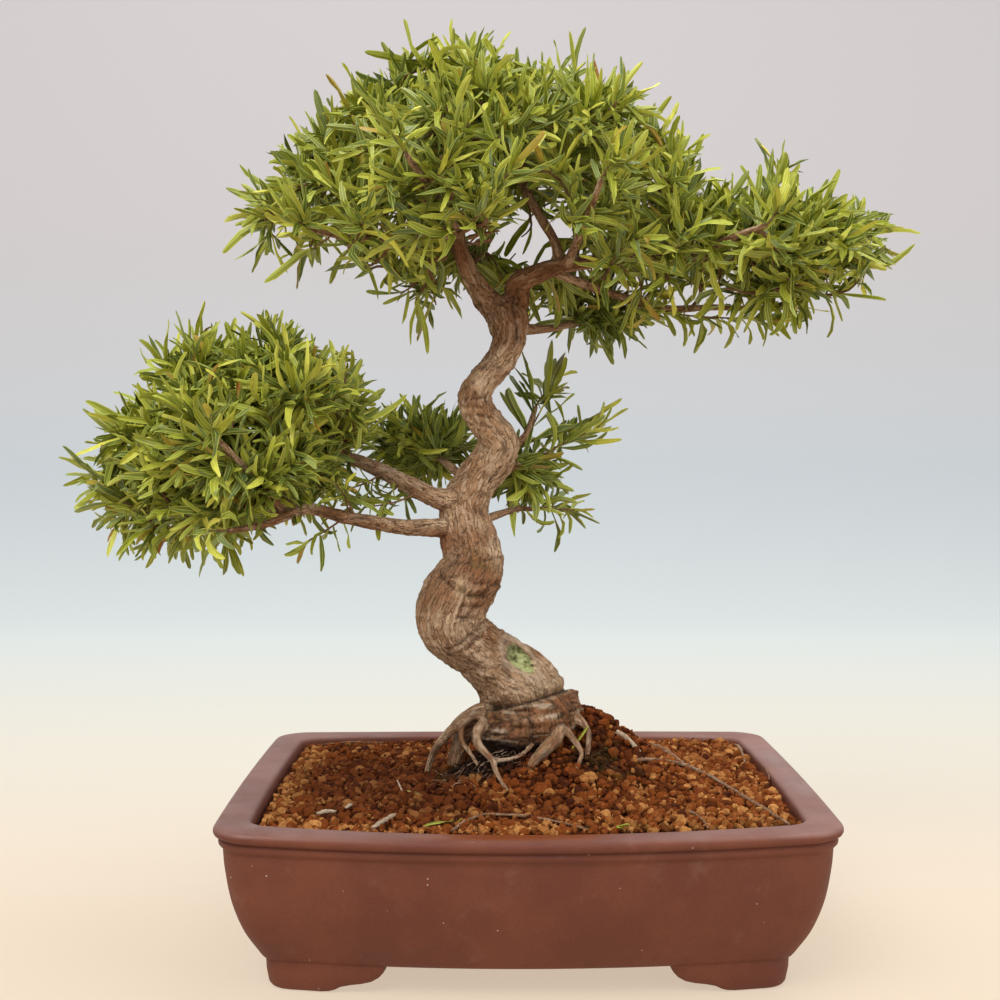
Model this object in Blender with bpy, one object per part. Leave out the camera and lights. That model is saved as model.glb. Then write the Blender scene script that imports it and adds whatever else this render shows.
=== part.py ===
"""Willow leaf fig bonsai in its rectangular stoneware pot, at real size.

The tree grew as one piece, so trunk, branches and surface roots are one solid. Each leafy shoot is a
solid of its own, a twig with its leaves. All numbers are millimetres in the pot's own frame, which has
its origin on the ground under the middle of the pot, X to the right, Y to the back and Z up.
"""

import math
import random

import bmesh
import bpy
from mathutils import Vector
from mathutils.bvhtree import BVHTree

MM = 0.001
GAP = 0.3
WOOD_GAP = 0.4
SEED = 11
# How far the pot's middle stands to the right of the whole object's middle.
POT_SHIFT = (23.6, 2.6, 0.0)

# How far a cutter reaches past what it cuts.
CUT_PAST = 5.0

# Pot, outside: length and depth of the rim at its corners, and how far its sides swell past that.
RIM_LENGTH = 322.4
RIM_DEPTH = 240.0
LONG_SIDE_BOW = 13.0
SHORT_SIDE_BOW = 2.0
# Radius of the plan's corners at the rim's edge, what it loses for each mm further in, and its least.
CORNER_RADIUS = 18.0
CORNER_TAPER = 0.45
LEAST_CORNER = 6.0
POT_HEIGHT = 90.0
# The rim sags in the middle of the long sides, less and less down to this height.
RIM_SAG = 2.3
SAG_FROM = 45.0
RIM_WIDTH = 17.5
UNDERSIDE = 15.5
FLOOR_TOP = 23.5
# Steps of the plan round a corner, along a long side and along a short side.
POT_STEPS = (4, 6, 4)
# Sections of the wall as (distance in from the rim's edge, height).
OUTER_PROFILE = (
    (27.0, UNDERSIDE), (21.7, 18.8), (14.0, 32.5), (8.5, 48.7), (5.6, 66.0), (4.9, 77.8), (2.6, 81.3),
    (2.0, 84.8), (0.3, 87.0), (1.2, POT_HEIGHT),
)
INNER_PROFILE = ((RIM_WIDTH, POT_HEIGHT), (18.8, 86.5), (19.4, 60.0), (25.0, 36.0), (38.0, FLOOR_TOP))

# Feet: a bracket under each corner whose lower edge rises in steps towards both ends.
FOOT_LONG_ARM = 63.5
FOOT_SHORT_ARM = 50.0
FOOT_INSET = 24.5
FOOT_THICKNESS = 13.0
FOOT_DRAFT = 2.0
FOOT_CORNER = 10.0
FOOT_CORNER_STEPS = 3
FOOT_OVERLAP = 3.0
FOOT_STEPS = ((0.0, 14.0), (3.5, 9.2), (12.0, 5.6), (22.0, 3.4), (30.0, 0.0))

# Drain holes and the plastic mesh laid over each of them.
HOLE_RADIUS = 8.0
HOLE_X = 72.0
SCREEN_SIDE = 36.0
SCREEN_THICKNESS = 1.2
SCREEN_BARS = 3
SCREEN_BAR_WIDTH = 2.4

# Soil: level by the walls, a mound under the collar and a higher one behind it on the right.
SOIL_LEVEL = 84.5
SOIL_RIGHT_RISE = 3.0
SOIL_CLEARANCE = 0.6
MOUNDS = ((4.0, 6.0, 22.0, 30.0), (41.0, 28.0, 29.0, 26.0))
GRANULE = 7.5
GRANULE_RELIEF = 1.5
GRANULE_SHIFT = 0.35
SOIL_RINGS = 12
SOIL_STEPS = (3, 14, 9)

# Trunk from its foot in the soil up to the fork, as (x, y, z, radius).
TRUNK = (
    (5, 15, 86, 16), (5, 15, 98, 18), (3, 13, 107, 23), (2, 12, 114, 29), (2, 12, 122, 30),
    (0, 12, 130, 27.3), (-3, 11, 140, 24.4), (-14.5, 8, 152.5, 20.2), (-27, 3, 163, 17.7),
    (-38.8, -3, 172.6, 18.3),
    (-43.8, -7, 183, 20.1), (-41, -9, 194, 20.4), (-35, -8, 203.5, 19.4), (-30.8, -5, 211.6, 17.8),
    (-30.5, -1, 220, 16.9), (-34, 4, 231, 16.0), (-36.1, 9, 243, 14.7), (-33.2, 12, 253.2, 13.8),
    (-26.4, 14, 264.4, 12.8), (-18.3, 13, 275.6, 12.9), (-15.4, 10, 285.5, 12.6), (-20.1, 6, 294.1, 11.3),
    (-26.9, 2, 302.6, 10.5), (-28.7, -2, 311, 10.4), (-25, -4, 318.8, 9.5), (-17, -4, 328, 8.8),
    (-11.6, -2, 336.5, 9.3), (-9.2, 0, 346.3, 11.0), (-10.2, 2, 355, 12.6), (-13.5, 3, 362, 10.6),
)
TRUNK_SIDES = 13
TRUNK_LOBES = ((2, 0.05, 0.6), (3, 0.045, 2.1), (5, 0.03, 4.0))

# Surface roots, as (x, y, z, radius), from inside the collar down into the soil.
ROOTS = (
    ((-14, 8, 124, 9.0), (-24, 2, 127, 6.6), (-32, 3, 124, 4.8), (-40, 4, 117.5, 3.9), (-47, 6, 110, 3.2),
     (-52.5, 8, 102.5, 2.7), (-56, 10, 93, 2.3), (-58, 12, 83, 1.9)),
    ((-36, 4, 120, 2.2), (-36.5, -1, 110.5, 1.8), (-31.5, -8, 104.5, 1.6), (-26.5, -13, 98, 1.4)),
    ((-20, 0, 122, 5.5), (-27, -10, 117, 3.9), (-27, -17, 112, 3.0), (-23, -21, 108, 2.6),
     (-18.5, -25, 104, 2.3), (-16.5, -31, 99, 1.9), (-13, -37, 94, 1.6), (-9, -42, 88, 1.4),
     (-7, -44, 82, 1.2)),
    ((-18.5, -25, 104, 1.9), (-11.5, -24, 104, 1.6), (-3.5, -21, 105.5, 1.5), (4, -17, 110.5, 1.4),
     (8, -11, 116, 1.4)),
    ((20, -6, 120, 5.0), (18, -15, 114, 4.6), (11.5, -19, 108.5, 4.2), (6, -22, 103.5, 3.4),
     (1, -24, 96, 2.4)),
    ((30, 2, 124, 4.0), (37, -4, 117, 2.2), (37, -10, 109, 1.9), (35.5, -14, 100, 1.5)),
    ((24, -8, 118, 3.0), (32.5, -16, 107, 1.7), (30.5, -23, 101, 1.6), (26.5, -31, 92, 1.3)),
    ((-12, 22, 122, 9.0), (-24, 32, 114, 6.0), (-37, 42, 100, 4.0), (-48, 50, 83, 2.6)),
    ((6, 28, 122, 10.0), (8, 42, 112, 6.0), (5, 56, 98, 4.0), (2, 66, 82, 2.6)),
)
ROOT_SIDES = 5

# Branches, as (x, y, z, radius). Each one starts inside what it grows from.
BRANCHES = {
    "left_low": ((-36, 2, 234, 7.8), (-51, -4, 235, 5.8), (-71, -12, 236, 4.8), (-102, -20, 242, 4.1),
                 (-122, -22, 247, 3.4), (-135, -25, 245, 2.9), (-154, -30, 249, 2.5), (-174, -29, 253, 2.1),
                 (-190, -25, 252, 1.7), (-204, -20, 247, 1.4)),
    "left_low_front": ((-127, -23, 246, 2.6), (-141, -42, 240, 2.2), (-151, -54, 238, 1.8),
                       (-160, -62, 237, 1.5)),
    "left_low_back": ((-122, -22, 247, 2.8), (-150, -2, 254, 2.3), (-173, 16, 254, 1.9),
                      (-192, 30, 254, 1.5)),
    "left_low_up": ((-135, -25, 245, 2.4), (-147, -55, 265, 2.0), (-161, -74, 284, 1.5)),
    "left_high": ((-36, 6, 249, 8.6), (-51, 2, 252, 6.8), (-67, 8, 259, 5.6), (-85, 15, 268, 4.5),
                  (-106, 20, 276, 3.5), (-127, 22, 279, 2.8), (-146, 20, 286, 2.4), (-180, 13, 286, 1.9),
                  (-204, 7, 290, 1.5)),
    "left_high_top": ((-106, 20, 276, 2.6), (-119, 8, 297, 2.1), (-132, -5, 315, 1.8), (-142, -12, 328, 1.5)),
    "left_high_back": ((-106, 20, 276, 2.6), (-118, 45, 291, 2.1), (-139, 66, 303, 1.7),
                       (-160, 80, 309, 1.4)),
    "left_high_mid": ((-146, 20, 286, 2.2), (-168, 45, 301, 1.8), (-192, 60, 309, 1.4)),
    "left_high_tip": ((-178, 13, 286, 1.9), (-189, -3, 303, 1.6), (-197, -14, 314, 1.4)),
    "left_high_front": ((-127, 22, 279, 2.4), (-128, -18, 296, 1.9), (-122, -48, 307, 1.4)),
    "crown_left": ((-13, 3, 358, 9.8), (-22, 2, 367, 8.2), (-31, -2, 381, 6.3), (-36, -7, 392, 5.4),
                   (-40, -12, 408, 4.6), (-48, -15, 415, 4.0), (-65, -20, 432, 3.2), (-76, -22, 448, 2.4),
                   (-82, -20, 462, 1.7)),
    "crown_left_low": ((-41, -12, 403, 3.0), (-67, -27, 396, 2.4), (-94, -40, 396, 1.9),
                       (-114, -45, 399, 1.4)),
    "crown_left_back": ((-36, -7, 392, 3.6), (-53, 40, 413, 2.7), (-74, 74, 436, 2.1), (-88, 92, 455, 1.5)),
    "crown_left_front": ((-40, -12, 407, 3.4), (-47, -50, 413, 2.6), (-55, -78, 422, 2.0),
                         (-62, -94, 430, 1.5)),
    "crown_left_far": ((-65, -20, 432, 2.6), (-86, -8, 435, 2.1), (-104, 3, 436, 1.7), (-118, 9, 438, 1.3)),
    "crown_middle": ((-48, -15, 415, 2.8), (-33, -38, 436, 2.1), (-24, -54, 457, 1.5)),
    "crown_right": ((-10, 2, 358, 9.4), (-5, 3, 367, 8.0), (-4, 0, 375, 6.8), (2, -4, 379, 6.0),
                    (14, -10, 383, 5.1), (24, -15, 385, 4.7), (43, -15, 387, 4.1), (66, -12, 389, 3.6),
                    (95, -6, 390, 3.1), (130, 0, 389, 2.6), (147, 2, 389, 2.2), (160, 3, 392, 1.8),
                    (172, 3, 395, 1.4)),
    "crown_riser": ((20, -13, 385, 3.6), (17, -10, 399, 2.9), (8, -6, 415, 2.7), (0, -2, 432, 2.4),
                    (-2, 2, 450, 2.0), (-5, 4, 464, 1.5)),
    "crown_riser_back": ((1, -3, 430, 2.4), (-14, 34, 453, 1.9), (-22, 52, 466, 1.4)),
    "crown_riser_right": ((1, -3, 430, 2.4), (24, -27, 447, 1.9), (40, -40, 459, 1.4)),
    "crown_front": ((24, -15, 385, 3.4), (28, -50, 394, 2.5), (33, -76, 407, 2.0), (37, -92, 418, 1.5)),
    "crown_back": ((43, -15, 387, 3.4), (54, 35, 408, 2.6), (63, 68, 428, 2.0), (68, 86, 444, 1.5)),
    "crown_far_right": ((66, -12, 389, 2.8), (76, 2, 416, 2.1), (83, 12, 437, 1.5)),
    "right_low": ((14, -10, 383, 3.2), (45, 15, 374, 2.5), (71, 30, 369, 2.3), (90, 35, 365, 2.1),
                  (114, 36, 366, 1.9), (136, 32, 365, 1.6), (152, 26, 366, 1.3)),
    "right_front": ((95, -6, 390, 2.6), (113, -34, 397, 1.9), (130, -50, 402, 1.4)),
    "right_back": ((130, 0, 389, 2.2), (146, 25, 401, 1.7), (158, 38, 408, 1.4)),
    "right_up": ((110, -3, 390, 2.4), (128, -6, 408, 1.9), (140, -4, 422, 1.4)),
    "back_high": ((-8, 6, 350, 4.0), (15, 22, 352, 2.5), (34, 42, 357, 2.1), (66, 64, 361, 1.5)),
    "back_upper": ((-14, 11, 275, 3.0), (0, 26, 287, 2.0), (5, 36, 297, 1.7), (8, 42, 306, 1.4)),
    "back_mid": ((-17, 13, 267, 3.0), (2, 26, 272, 2.0), (13, 35, 276, 1.6), (20, 42, 281, 1.3)),
    "back_low": ((-32, 5, 236, 3.2), (-6, 24, 244, 1.9), (4, 34, 244, 1.5), (11, 42, 244, 1.3)),
    "back_left": ((-30, 14, 258, 3.4), (-46, 45, 271, 2.3), (-63, 65, 281, 1.8), (-82, 80, 288, 1.4)),
}
BRANCH_SIDES = 5
# A branch that starts thicker than this has more sides.
THICK_LIMB = 5.0
THICK_LIMB_SIDES = 7

# Domes that the foliage fills: middle, half sizes (x, y, up, down), and how many shoots reach for them
# beside the one at each branch's end.
DOMES = {
    "crown": ((-22, 0, 404), (138, 118, 124, 22), 13),
    "right": ((148, 2, 385), (74, 70, 52, 36), 3),
    "left": ((-166, -4, 274), (98, 92, 80, 52), 7),
}
# How far under a dome's surface its shoots end, and the share of that on its underside.
SHOOT_DEPTH = 27.0
UNDERSIDE_DEPTH = 0.4
# The shoots of a dome stand at levels from the first, spread over the range, as shares of its height.
DOME_FIRST_LEVEL = 0.93
DOME_LEVEL_RANGE = 1.25
# Leaves point away from a place this far under the middle of their dome.
DOME_ROOT_DROP = 40.0

# Twigs.
TWIG_RADIUS = 1.25
TWIG_TIP_RADIUS = 0.8
TWIG_SIDES = 3
TWIG_CLEARANCE = 0.6
TWIG_FREE_FOOT = 2.0
# Bends of a twig, as shares of its reach: out of the bark, up into the tip, and back along the reach.
TWIG_FOOT_PULL = 0.35
TWIG_TIP_DROP = 0.18
TWIG_TIP_PULL = 0.25
# A twig that reaches further than this has one more step.
LONG_TWIG = 45.0
TWIG_STEPS = 3

# Shoots: their reach from the branch, how their seats are ranked and how many are tried.
SHOOT_REACH = (22.0, 78.0)
SEAT_SPACING = 8.0
SEAT_TRIES = 14
SEAT_PROBE = 12.0
SEAT_SQUARENESS = 0.6
SEAT_COST = 1.25
SEAT_ALONG_GAIN = 0.5
END_REACH = (26.0, 34.0)
END_TRIES = 6
END_ASIDE = 0.12
# How much a shoot at a branch's end follows the branch, the dome's outward direction and the way up.
END_ALONG = 0.8
END_OUTWARD = 0.7
END_UPWARD = 0.15

# Leaves: stations along a blade are (share of its length, share of its width, share of its bend).
LEAVES_PER_SHOOT = 7
FEWEST_LEAVES = 5
LEAF_LENGTH = (31.0, 46.0)
LEAF_WIDTH = (4.8, 6.2)
LEAF_BEND = (0.05, 0.3)
LEAF_STATIONS = ((0.0, 0.22, 0.0), (0.38, 1.0, 0.33), (0.72, 0.82, 0.7))
LEAF_KEEL = 1.3
LEAF_FOOT_KEEL = 0.6
LEAF_ROWS = (0.2, 0.98)
LEAF_TURN = math.radians(137.5)
LEAF_SPREAD = (0.65, 1.05)
LEAF_TIP_CLOSING = 0.45
LEAF_OUTWARD = 0.25
LEAF_UPWARD = 0.1
LEAF_FACING_UP = 0.6
LEAF_CLEARANCE = 0.5
LEAF_FREE_FOOT = 3.0
LEAF_TRIES = 7
LEAF_TRY_TURN = 0.45
# Fusing leaves short edges and small faces at the joints.
SHORTEST_EDGE = 0.002
KEPT_FACES = 0.66


def clear_scene():
    for old in list(bpy.data.objects):
        bpy.data.objects.remove(old)


def material(name, color, roughness):
    new = bpy.data.materials.new(name)
    new.use_nodes = True
    shader = new.node_tree.nodes["Principled BSDF"]
    shader.inputs["Base Color"].default_value = (*color, 1.0)
    shader.inputs["Roughness"].default_value = roughness
    shader.inputs["Metallic"].default_value = 0.0
    return new


def mesh_of(name, shape, finish=None):
    """A mesh in metres from (points in mm, faces)."""
    points, faces = shape
    mesh = bpy.data.meshes.new(name)
    mesh.from_pydata([tuple(c * MM for c in p) for p in points], [], faces)
    mesh.validate()
    if finish:
        mesh.materials.append(finish)
    return mesh


def object_of(name, shape, finish=None):
    new = bpy.data.objects.new(name, mesh_of(name, shape, finish))
    bpy.context.scene.collection.objects.link(new)
    return new


def islands_of(edit):
    """The faces of each island that hangs together by its edges, the largest island last."""
    unseen = set(edit.faces)
    islands = []
    while unseen:
        border = [unseen.pop()]
        island = list(border)
        while border:
            around = {face for edge in border.pop().edges for face in edge.link_faces} & unseen
            unseen -= around
            border += around
            island += around
        islands.append(island)
    return sorted(islands, key=len)


def keep_outer_skin(mesh):
    """Drop sealed hollows and loose scraps: every island of triangles but the largest."""
    edit = bmesh.new()
    edit.from_mesh(mesh)
    bmesh.ops.triangulate(edit, faces=edit.faces)
    for island in islands_of(edit)[:-1]:
        bmesh.ops.delete(edit, geom=island, context="FACES")
    edit.to_mesh(mesh)
    edit.free()


def combine(target, shapes, operation, solver="MANIFOLD"):
    """Join the shapes to the target, or cut them from it, with one Boolean on a collection."""
    group = bpy.data.collections.new(target.name + "_shapes")
    bpy.context.scene.collection.children.link(group)
    for index, shape in enumerate(shapes):
        name = f"{target.name}_shape_{index}"
        group.objects.link(bpy.data.objects.new(name, mesh_of(name, shape)))
    boolean = target.modifiers.new("Combine", "BOOLEAN")
    boolean.operation = operation
    boolean.operand_type = "COLLECTION"
    boolean.collection = group
    boolean.solver = solver
    graph = bpy.context.evaluated_depsgraph_get()
    result = bpy.data.meshes.new_from_object(target.evaluated_get(graph))
    target.modifiers.clear()
    keep_outer_skin(result)
    target.data = result
    for used in list(group.objects):
        bpy.data.objects.remove(used)
    bpy.data.collections.remove(group)


def is_sound(mesh):
    """True where each edge joins two faces and is long enough to keep its ends apart."""
    edit = bmesh.new()
    edit.from_mesh(mesh)
    sound = all(len(e.link_faces) == 2 and e.calc_length() > SHORTEST_EDGE * MM for e in edit.edges)
    sound = sound and len(islands_of(edit)) == 1
    edit.free()
    return sound


def lighten(target):
    """Drop the needless small faces that fusing leaves at the joints, where the mesh stays closed."""
    fewer = target.modifiers.new("Lighten", "DECIMATE")
    fewer.ratio = KEPT_FACES
    graph = bpy.context.evaluated_depsgraph_get()
    result = bpy.data.meshes.new_from_object(target.evaluated_get(graph))
    target.modifiers.clear()
    if is_sound(result):
        target.data = result


def ring_faces(size, count, last_cap=True):
    """Faces between a count of rings of equal size, listed one after the other, and over the ends."""
    faces = [tuple(reversed(range(size)))]
    for level in range(count - 1):
        for side in range(size):
            after = (side + 1) % size
            low, high = level * size, (level + 1) * size
            faces.append((low + side, low + after, high + after, high + side))
    if last_cap:
        start = (count - 1) * size
        faces.append(tuple(range(start, start + size)))
    return faces


def square_to(tangent, side):
    """The side turned square to the tangent, and the direction square to both."""
    side = (side - tangent * side.dot(tangent)).normalized()
    return side, tangent.cross(side)


def frames_along(path):
    """(tangent, side, up) at each point of a path, turned as little as possible along it."""
    path = [Vector(p) for p in path]
    last = len(path) - 1
    tangents = [(path[min(i + 1, last)] - path[max(i - 1, 0)]).normalized() for i in range(last + 1)]
    side = tangents[0].orthogonal().normalized()
    frames = []
    for tangent in tangents:
        side, up = square_to(tangent, side)
        frames.append((tangent, side, up))
    return frames


def tube(stations, sides, lobes=(), grow=0.0):
    """A tube through (x, y, z, radius) stations, its section swollen by lobes of (waves, share, turn)."""
    points = []
    for (tangent, side, up), station in zip(frames_along([s[:3] for s in stations]), stations):
        for step in range(sides):
            angle = math.tau * step / sides
            swell = sum(share * math.sin(waves * angle + turn) for waves, share, turn in lobes)
            radius = station[3] * (1 + swell) + grow
            points.append(Vector(station[:3]) + radius * (math.cos(angle) * side + math.sin(angle) * up))
    return points, ring_faces(sides, len(stations))


def plan_point(x, y, half_x, half_y):
    """A point of the straight-sided plan moved out with the swell of the sides."""
    out_x = SHORT_SIDE_BOW * (1 - min(1, (y / half_y) ** 2)) * x / half_x
    out_y = LONG_SIDE_BOW * (1 - min(1, (x / half_x) ** 2)) * y / half_y
    return x + out_x, y + out_y


def outline(inset, corner_steps, long_steps, short_steps):
    """The pot's plan at a distance in from the rim's edge, anticlockwise seen from above."""
    half_x = RIM_LENGTH / 2 - inset
    half_y = RIM_DEPTH / 2 - inset
    radius = max(CORNER_RADIUS - CORNER_TAPER * inset, LEAST_CORNER)
    middle_x, middle_y = half_x - radius, half_y - radius
    plan = []
    for quarter, (sign_x, sign_y) in enumerate(((1, -1), (1, 1), (-1, 1), (-1, -1))):
        start = math.radians(90 * quarter - 90)
        for step in range(corner_steps + 1):
            angle = start + math.radians(90) * step / corner_steps
            plan.append((sign_x * middle_x + radius * math.cos(angle),
                         sign_y * middle_y + radius * math.sin(angle)))
        steps = short_steps if quarter % 2 == 0 else long_steps
        for step in range(1, steps):
            share = 1 - 2 * step / steps
            if quarter % 2 == 0:
                plan.append((sign_x * half_x, -sign_x * share * middle_y))
            else:
                plan.append((sign_y * share * middle_x, sign_y * half_y))
    return [plan_point(x, y, half_x, half_y) for x, y in plan]


def foot_plan(inset, sign_x, sign_y):
    """Plan points of one foot's face, from the end of its long arm round the corner."""
    half_x = RIM_LENGTH / 2 - inset
    half_y = RIM_DEPTH / 2 - inset
    middle_x, middle_y = half_x - FOOT_CORNER, half_y - FOOT_CORNER
    arm_x = RIM_LENGTH / 2 - FOOT_INSET - FOOT_LONG_ARM
    arm_y = RIM_DEPTH / 2 - FOOT_INSET - FOOT_SHORT_ARM
    plan = [(arm_x + run, half_y) for run, rise in FOOT_STEPS]
    for step in range(FOOT_CORNER_STEPS + 1):
        angle = math.radians(90 - 90 * step / FOOT_CORNER_STEPS)
        plan.append((middle_x + FOOT_CORNER * math.cos(angle), middle_y + FOOT_CORNER * math.sin(angle)))
    plan += [(half_x, arm_y + run) for run, rise in reversed(FOOT_STEPS)]
    return [plan_point(sign_x * x, sign_y * y, half_x, half_y) for x, y in plan]


def foot_shape(sign_x, sign_y):
    rises = [rise for run, rise in FOOT_STEPS]
    rises = rises + [0.0] * (FOOT_CORNER_STEPS + 1) + rises[::-1]
    top = UNDERSIDE + FOOT_OVERLAP
    outer = foot_plan(FOOT_INSET, sign_x, sign_y)
    outer_low = foot_plan(FOOT_INSET + FOOT_DRAFT, sign_x, sign_y)
    inner = foot_plan(FOOT_INSET + FOOT_THICKNESS, sign_x, sign_y)
    points = []
    for index, rise in enumerate(rises):
        section = [(*inner[index], top), (*outer[index], top)]
        section += [(*outer_low[index], rise), (*inner[index], rise)]
        points += section[::-1] if sign_x * sign_y > 0 else section
    return points, ring_faces(4, len(rises))


def disc(x, y, low, high, radius, sides=12):
    points = []
    for z in (low, high):
        for step in range(sides):
            angle = math.tau * step / sides
            points.append((x + radius * math.cos(angle), y + radius * math.sin(angle), z))
    return points, ring_faces(sides, 2)


def block(low, high):
    (x0, y0, z0), (x1, y1, z1) = low, high
    points = [(x, y, z) for z in (z0, z1) for x, y in ((x0, y0), (x1, y0), (x1, y1), (x0, y1))]
    return points, ring_faces(4, 2)


def sagged(x, height):
    """The height of a point of the pot once the long sides have sagged."""
    middle = 1 - min(1, (2 * x / RIM_LENGTH) ** 2)
    return height - RIM_SAG * middle * max(0, height - SAG_FROM) / (POT_HEIGHT - SAG_FROM)


def build_pot(finish):
    points = []
    profile = OUTER_PROFILE + INNER_PROFILE
    for inset, height in profile:
        plan = outline(inset, *POT_STEPS)
        points += [(x, y, sagged(x, height)) for x, y in plan]
    pot = object_of("pot", (points, ring_faces(len(plan), len(profile))), finish)
    corners = ((1, 1), (-1, 1), (-1, -1), (1, -1))
    combine(pot, [foot_shape(*corner) for corner in corners], "UNION")
    low, high = UNDERSIDE - CUT_PAST, FLOOR_TOP + CUT_PAST
    holes = [disc(x, 0, low, high, HOLE_RADIUS) for x in (-HOLE_X, HOLE_X)]
    combine(pot, holes, "DIFFERENCE")
    return pot


def build_screen(name, x, finish):
    """A square of plastic mesh: a plate with rows of square holes."""
    half = SCREEN_SIDE / 2
    low, high = FLOOR_TOP + GAP, FLOOR_TOP + GAP + SCREEN_THICKNESS
    screen = object_of(name, block((x - half, -half, low), (x + half, half, high)), finish)
    pitch = (SCREEN_SIDE - SCREEN_BAR_WIDTH) / SCREEN_BARS
    hole = pitch - SCREEN_BAR_WIDTH
    holes = []
    for column in range(SCREEN_BARS):
        for row in range(SCREEN_BARS):
            left = x - half + SCREEN_BAR_WIDTH + column * pitch
            front = -half + SCREEN_BAR_WIDTH + row * pitch
            holes.append(block((left, front, low - CUT_PAST), (left + hole, front + hole, high + CUT_PAST)))
    combine(screen, holes, "DIFFERENCE")
    return screen


def granule_relief(x, y):
    """Rounded bumps of one granule each, on a grid whose points are shifted by a fixed rule."""
    nearest = GRANULE
    for column in range(math.floor(x / GRANULE) - 1, math.floor(x / GRANULE) + 2):
        for row in range(math.floor(y / GRANULE) - 1, math.floor(y / GRANULE) + 2):
            shift_x = 0.5 + GRANULE_SHIFT * math.sin(12.9 * column + 78.2 * row)
            shift_y = 0.5 + GRANULE_SHIFT * math.sin(39.3 * column + 11.1 * row)
            away = math.hypot(x - (column + shift_x) * GRANULE, y - (row + shift_y) * GRANULE)
            nearest = min(nearest, away)
    return GRANULE_RELIEF * (1 - 2 * (nearest / GRANULE) ** 2)


def soil_height(x, y):
    height = SOIL_LEVEL + SOIL_RIGHT_RISE * (0.5 + x / RIM_LENGTH)
    for middle_x, middle_y, rise, spread in MOUNDS:
        away = (x - middle_x) ** 2 + (y - middle_y) ** 2
        height += rise * math.exp(-away / (2 * spread * spread))
    return height


def build_soil(finish, wood, screens):
    """The soil fills the pot round the wood: the wall's inner face moved in, under a top of bumps."""
    wall = [(inset + SOIL_CLEARANCE, height) for inset, height in reversed(INNER_PROFILE[2:])]
    points = []
    for inset, height in wall:
        lift = GAP if height == FLOOR_TOP else 0.0
        points += [(x, y, height + lift) for x, y in outline(inset, *SOIL_STEPS)]
    edge = outline(INNER_PROFILE[2][0] + SOIL_CLEARANCE, *SOIL_STEPS)
    for ring in range(SOIL_RINGS):
        share = 1 - ring / SOIL_RINGS
        for x, y in edge:
            relief = granule_relief(x * share, y * share)
            points.append((x * share, y * share, soil_height(x * share, y * share) + relief))
    soil = object_of("soil", (points, ring_faces(len(edge), len(wall) + SOIL_RINGS)), finish)
    pockets = []
    for screen in screens:
        reach = SCREEN_SIDE / 2 + GAP
        low = FLOOR_TOP - CUT_PAST
        high = FLOOR_TOP + SCREEN_THICKNESS + 2 * GAP
        pockets.append(block((screen - reach, -reach, low), (screen + reach, reach, high)))
    combine(soil, wood + pockets, "DIFFERENCE")
    return soil


def wood_in_soil(grow=0.0):
    """The trunk and the surface roots, each thicker by grow."""
    shapes = [tube(TRUNK, TRUNK_SIDES, TRUNK_LOBES, grow)]
    shapes += [tube(root, ROOT_SIDES, grow=grow) for root in ROOTS]
    return shapes


def build_tree(finish):
    shapes = wood_in_soil()
    for route in BRANCHES.values():
        shapes.append(tube(route, THICK_LIMB_SIDES if route[0][3] > THICK_LIMB else BRANCH_SIDES))
    tree = object_of("tree", shapes[0], finish)
    combine(tree, shapes[1:], "UNION")
    return tree


def surface_of(target):
    """A search tree over an object's faces, in mm."""
    mesh = target.data
    points = [v.co / MM for v in mesh.vertices]
    return BVHTree.FromPolygons(points, [tuple(p.vertices) for p in mesh.polygons])


def leaf_shape(root, direction, up, length, width, bend, grow=0.0):
    """A folded blade with a keel along its midrib, arched by bend and narrowing to its tip."""
    side = direction.cross(up).normalized()
    up = side.cross(direction).normalized()
    points = []
    for share, breadth, turn in LEAF_STATIONS:
        spine = root + length * share * (direction - up * bend * turn * share)
        half = breadth * width / 2 + grow
        keel = LEAF_KEEL * (LEAF_FOOT_KEEL if share == 0 else 1.0) + grow
        points += [spine - side * half + up * grow, spine + side * half + up * grow, spine - up * keel]
    tip = root + length * (1 + grow / length) * (direction - up * bend)
    faces = ring_faces(3, len(LEAF_STATIONS), last_cap=False)
    faces += [(6, 7, 9), (7, 8, 9), (8, 6, 9)]
    return points + [tip], faces


def touches(shape, surfaces):
    test = BVHTree.FromPolygons(*shape)
    return any(test.overlap(surface) for surface in surfaces)


def shoot_path(base, normal, tip, steps):
    """A twig's centre line, which leaves the bark squarely and bends over to its tip."""
    start, end = Vector(base), Vector(tip)
    reach = (end - start).length
    first = start + normal * reach * TWIG_FOOT_PULL
    second = end - Vector((0, 0, reach * TWIG_TIP_DROP)) - (end - start) * TWIG_TIP_PULL
    path = []
    for step in range(steps + 1):
        t = step / steps
        u = 1 - t
        path.append(u ** 3 * start + 3 * u * u * t * first + 3 * u * t * t * second + t ** 3 * end)
    return path


def twig_shape(path, normal, grow=0.0):
    """A thin tube whose foot is cut square to the bark that it stands on."""
    stations = []
    for index, point in enumerate(path):
        share = index / (len(path) - 1)
        radius = TWIG_RADIUS + share * (TWIG_TIP_RADIUS - TWIG_RADIUS) + grow
        stations.append((*point, radius))
    foot_behind = path[0] - normal
    guide = [foot_behind, *path]
    points = []
    frames = frames_along(guide)[1:]
    frames[0] = (normal, *square_to(normal, frames[1][1]))
    for (tangent, side, up), station in zip(frames, stations):
        for step in range(TWIG_SIDES):
            angle = math.tau * step / TWIG_SIDES
            points.append(Vector(station[:3]) + station[3] * (math.cos(angle) * side + math.sin(angle) * up))
    return points, ring_faces(TWIG_SIDES, len(path))


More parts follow.
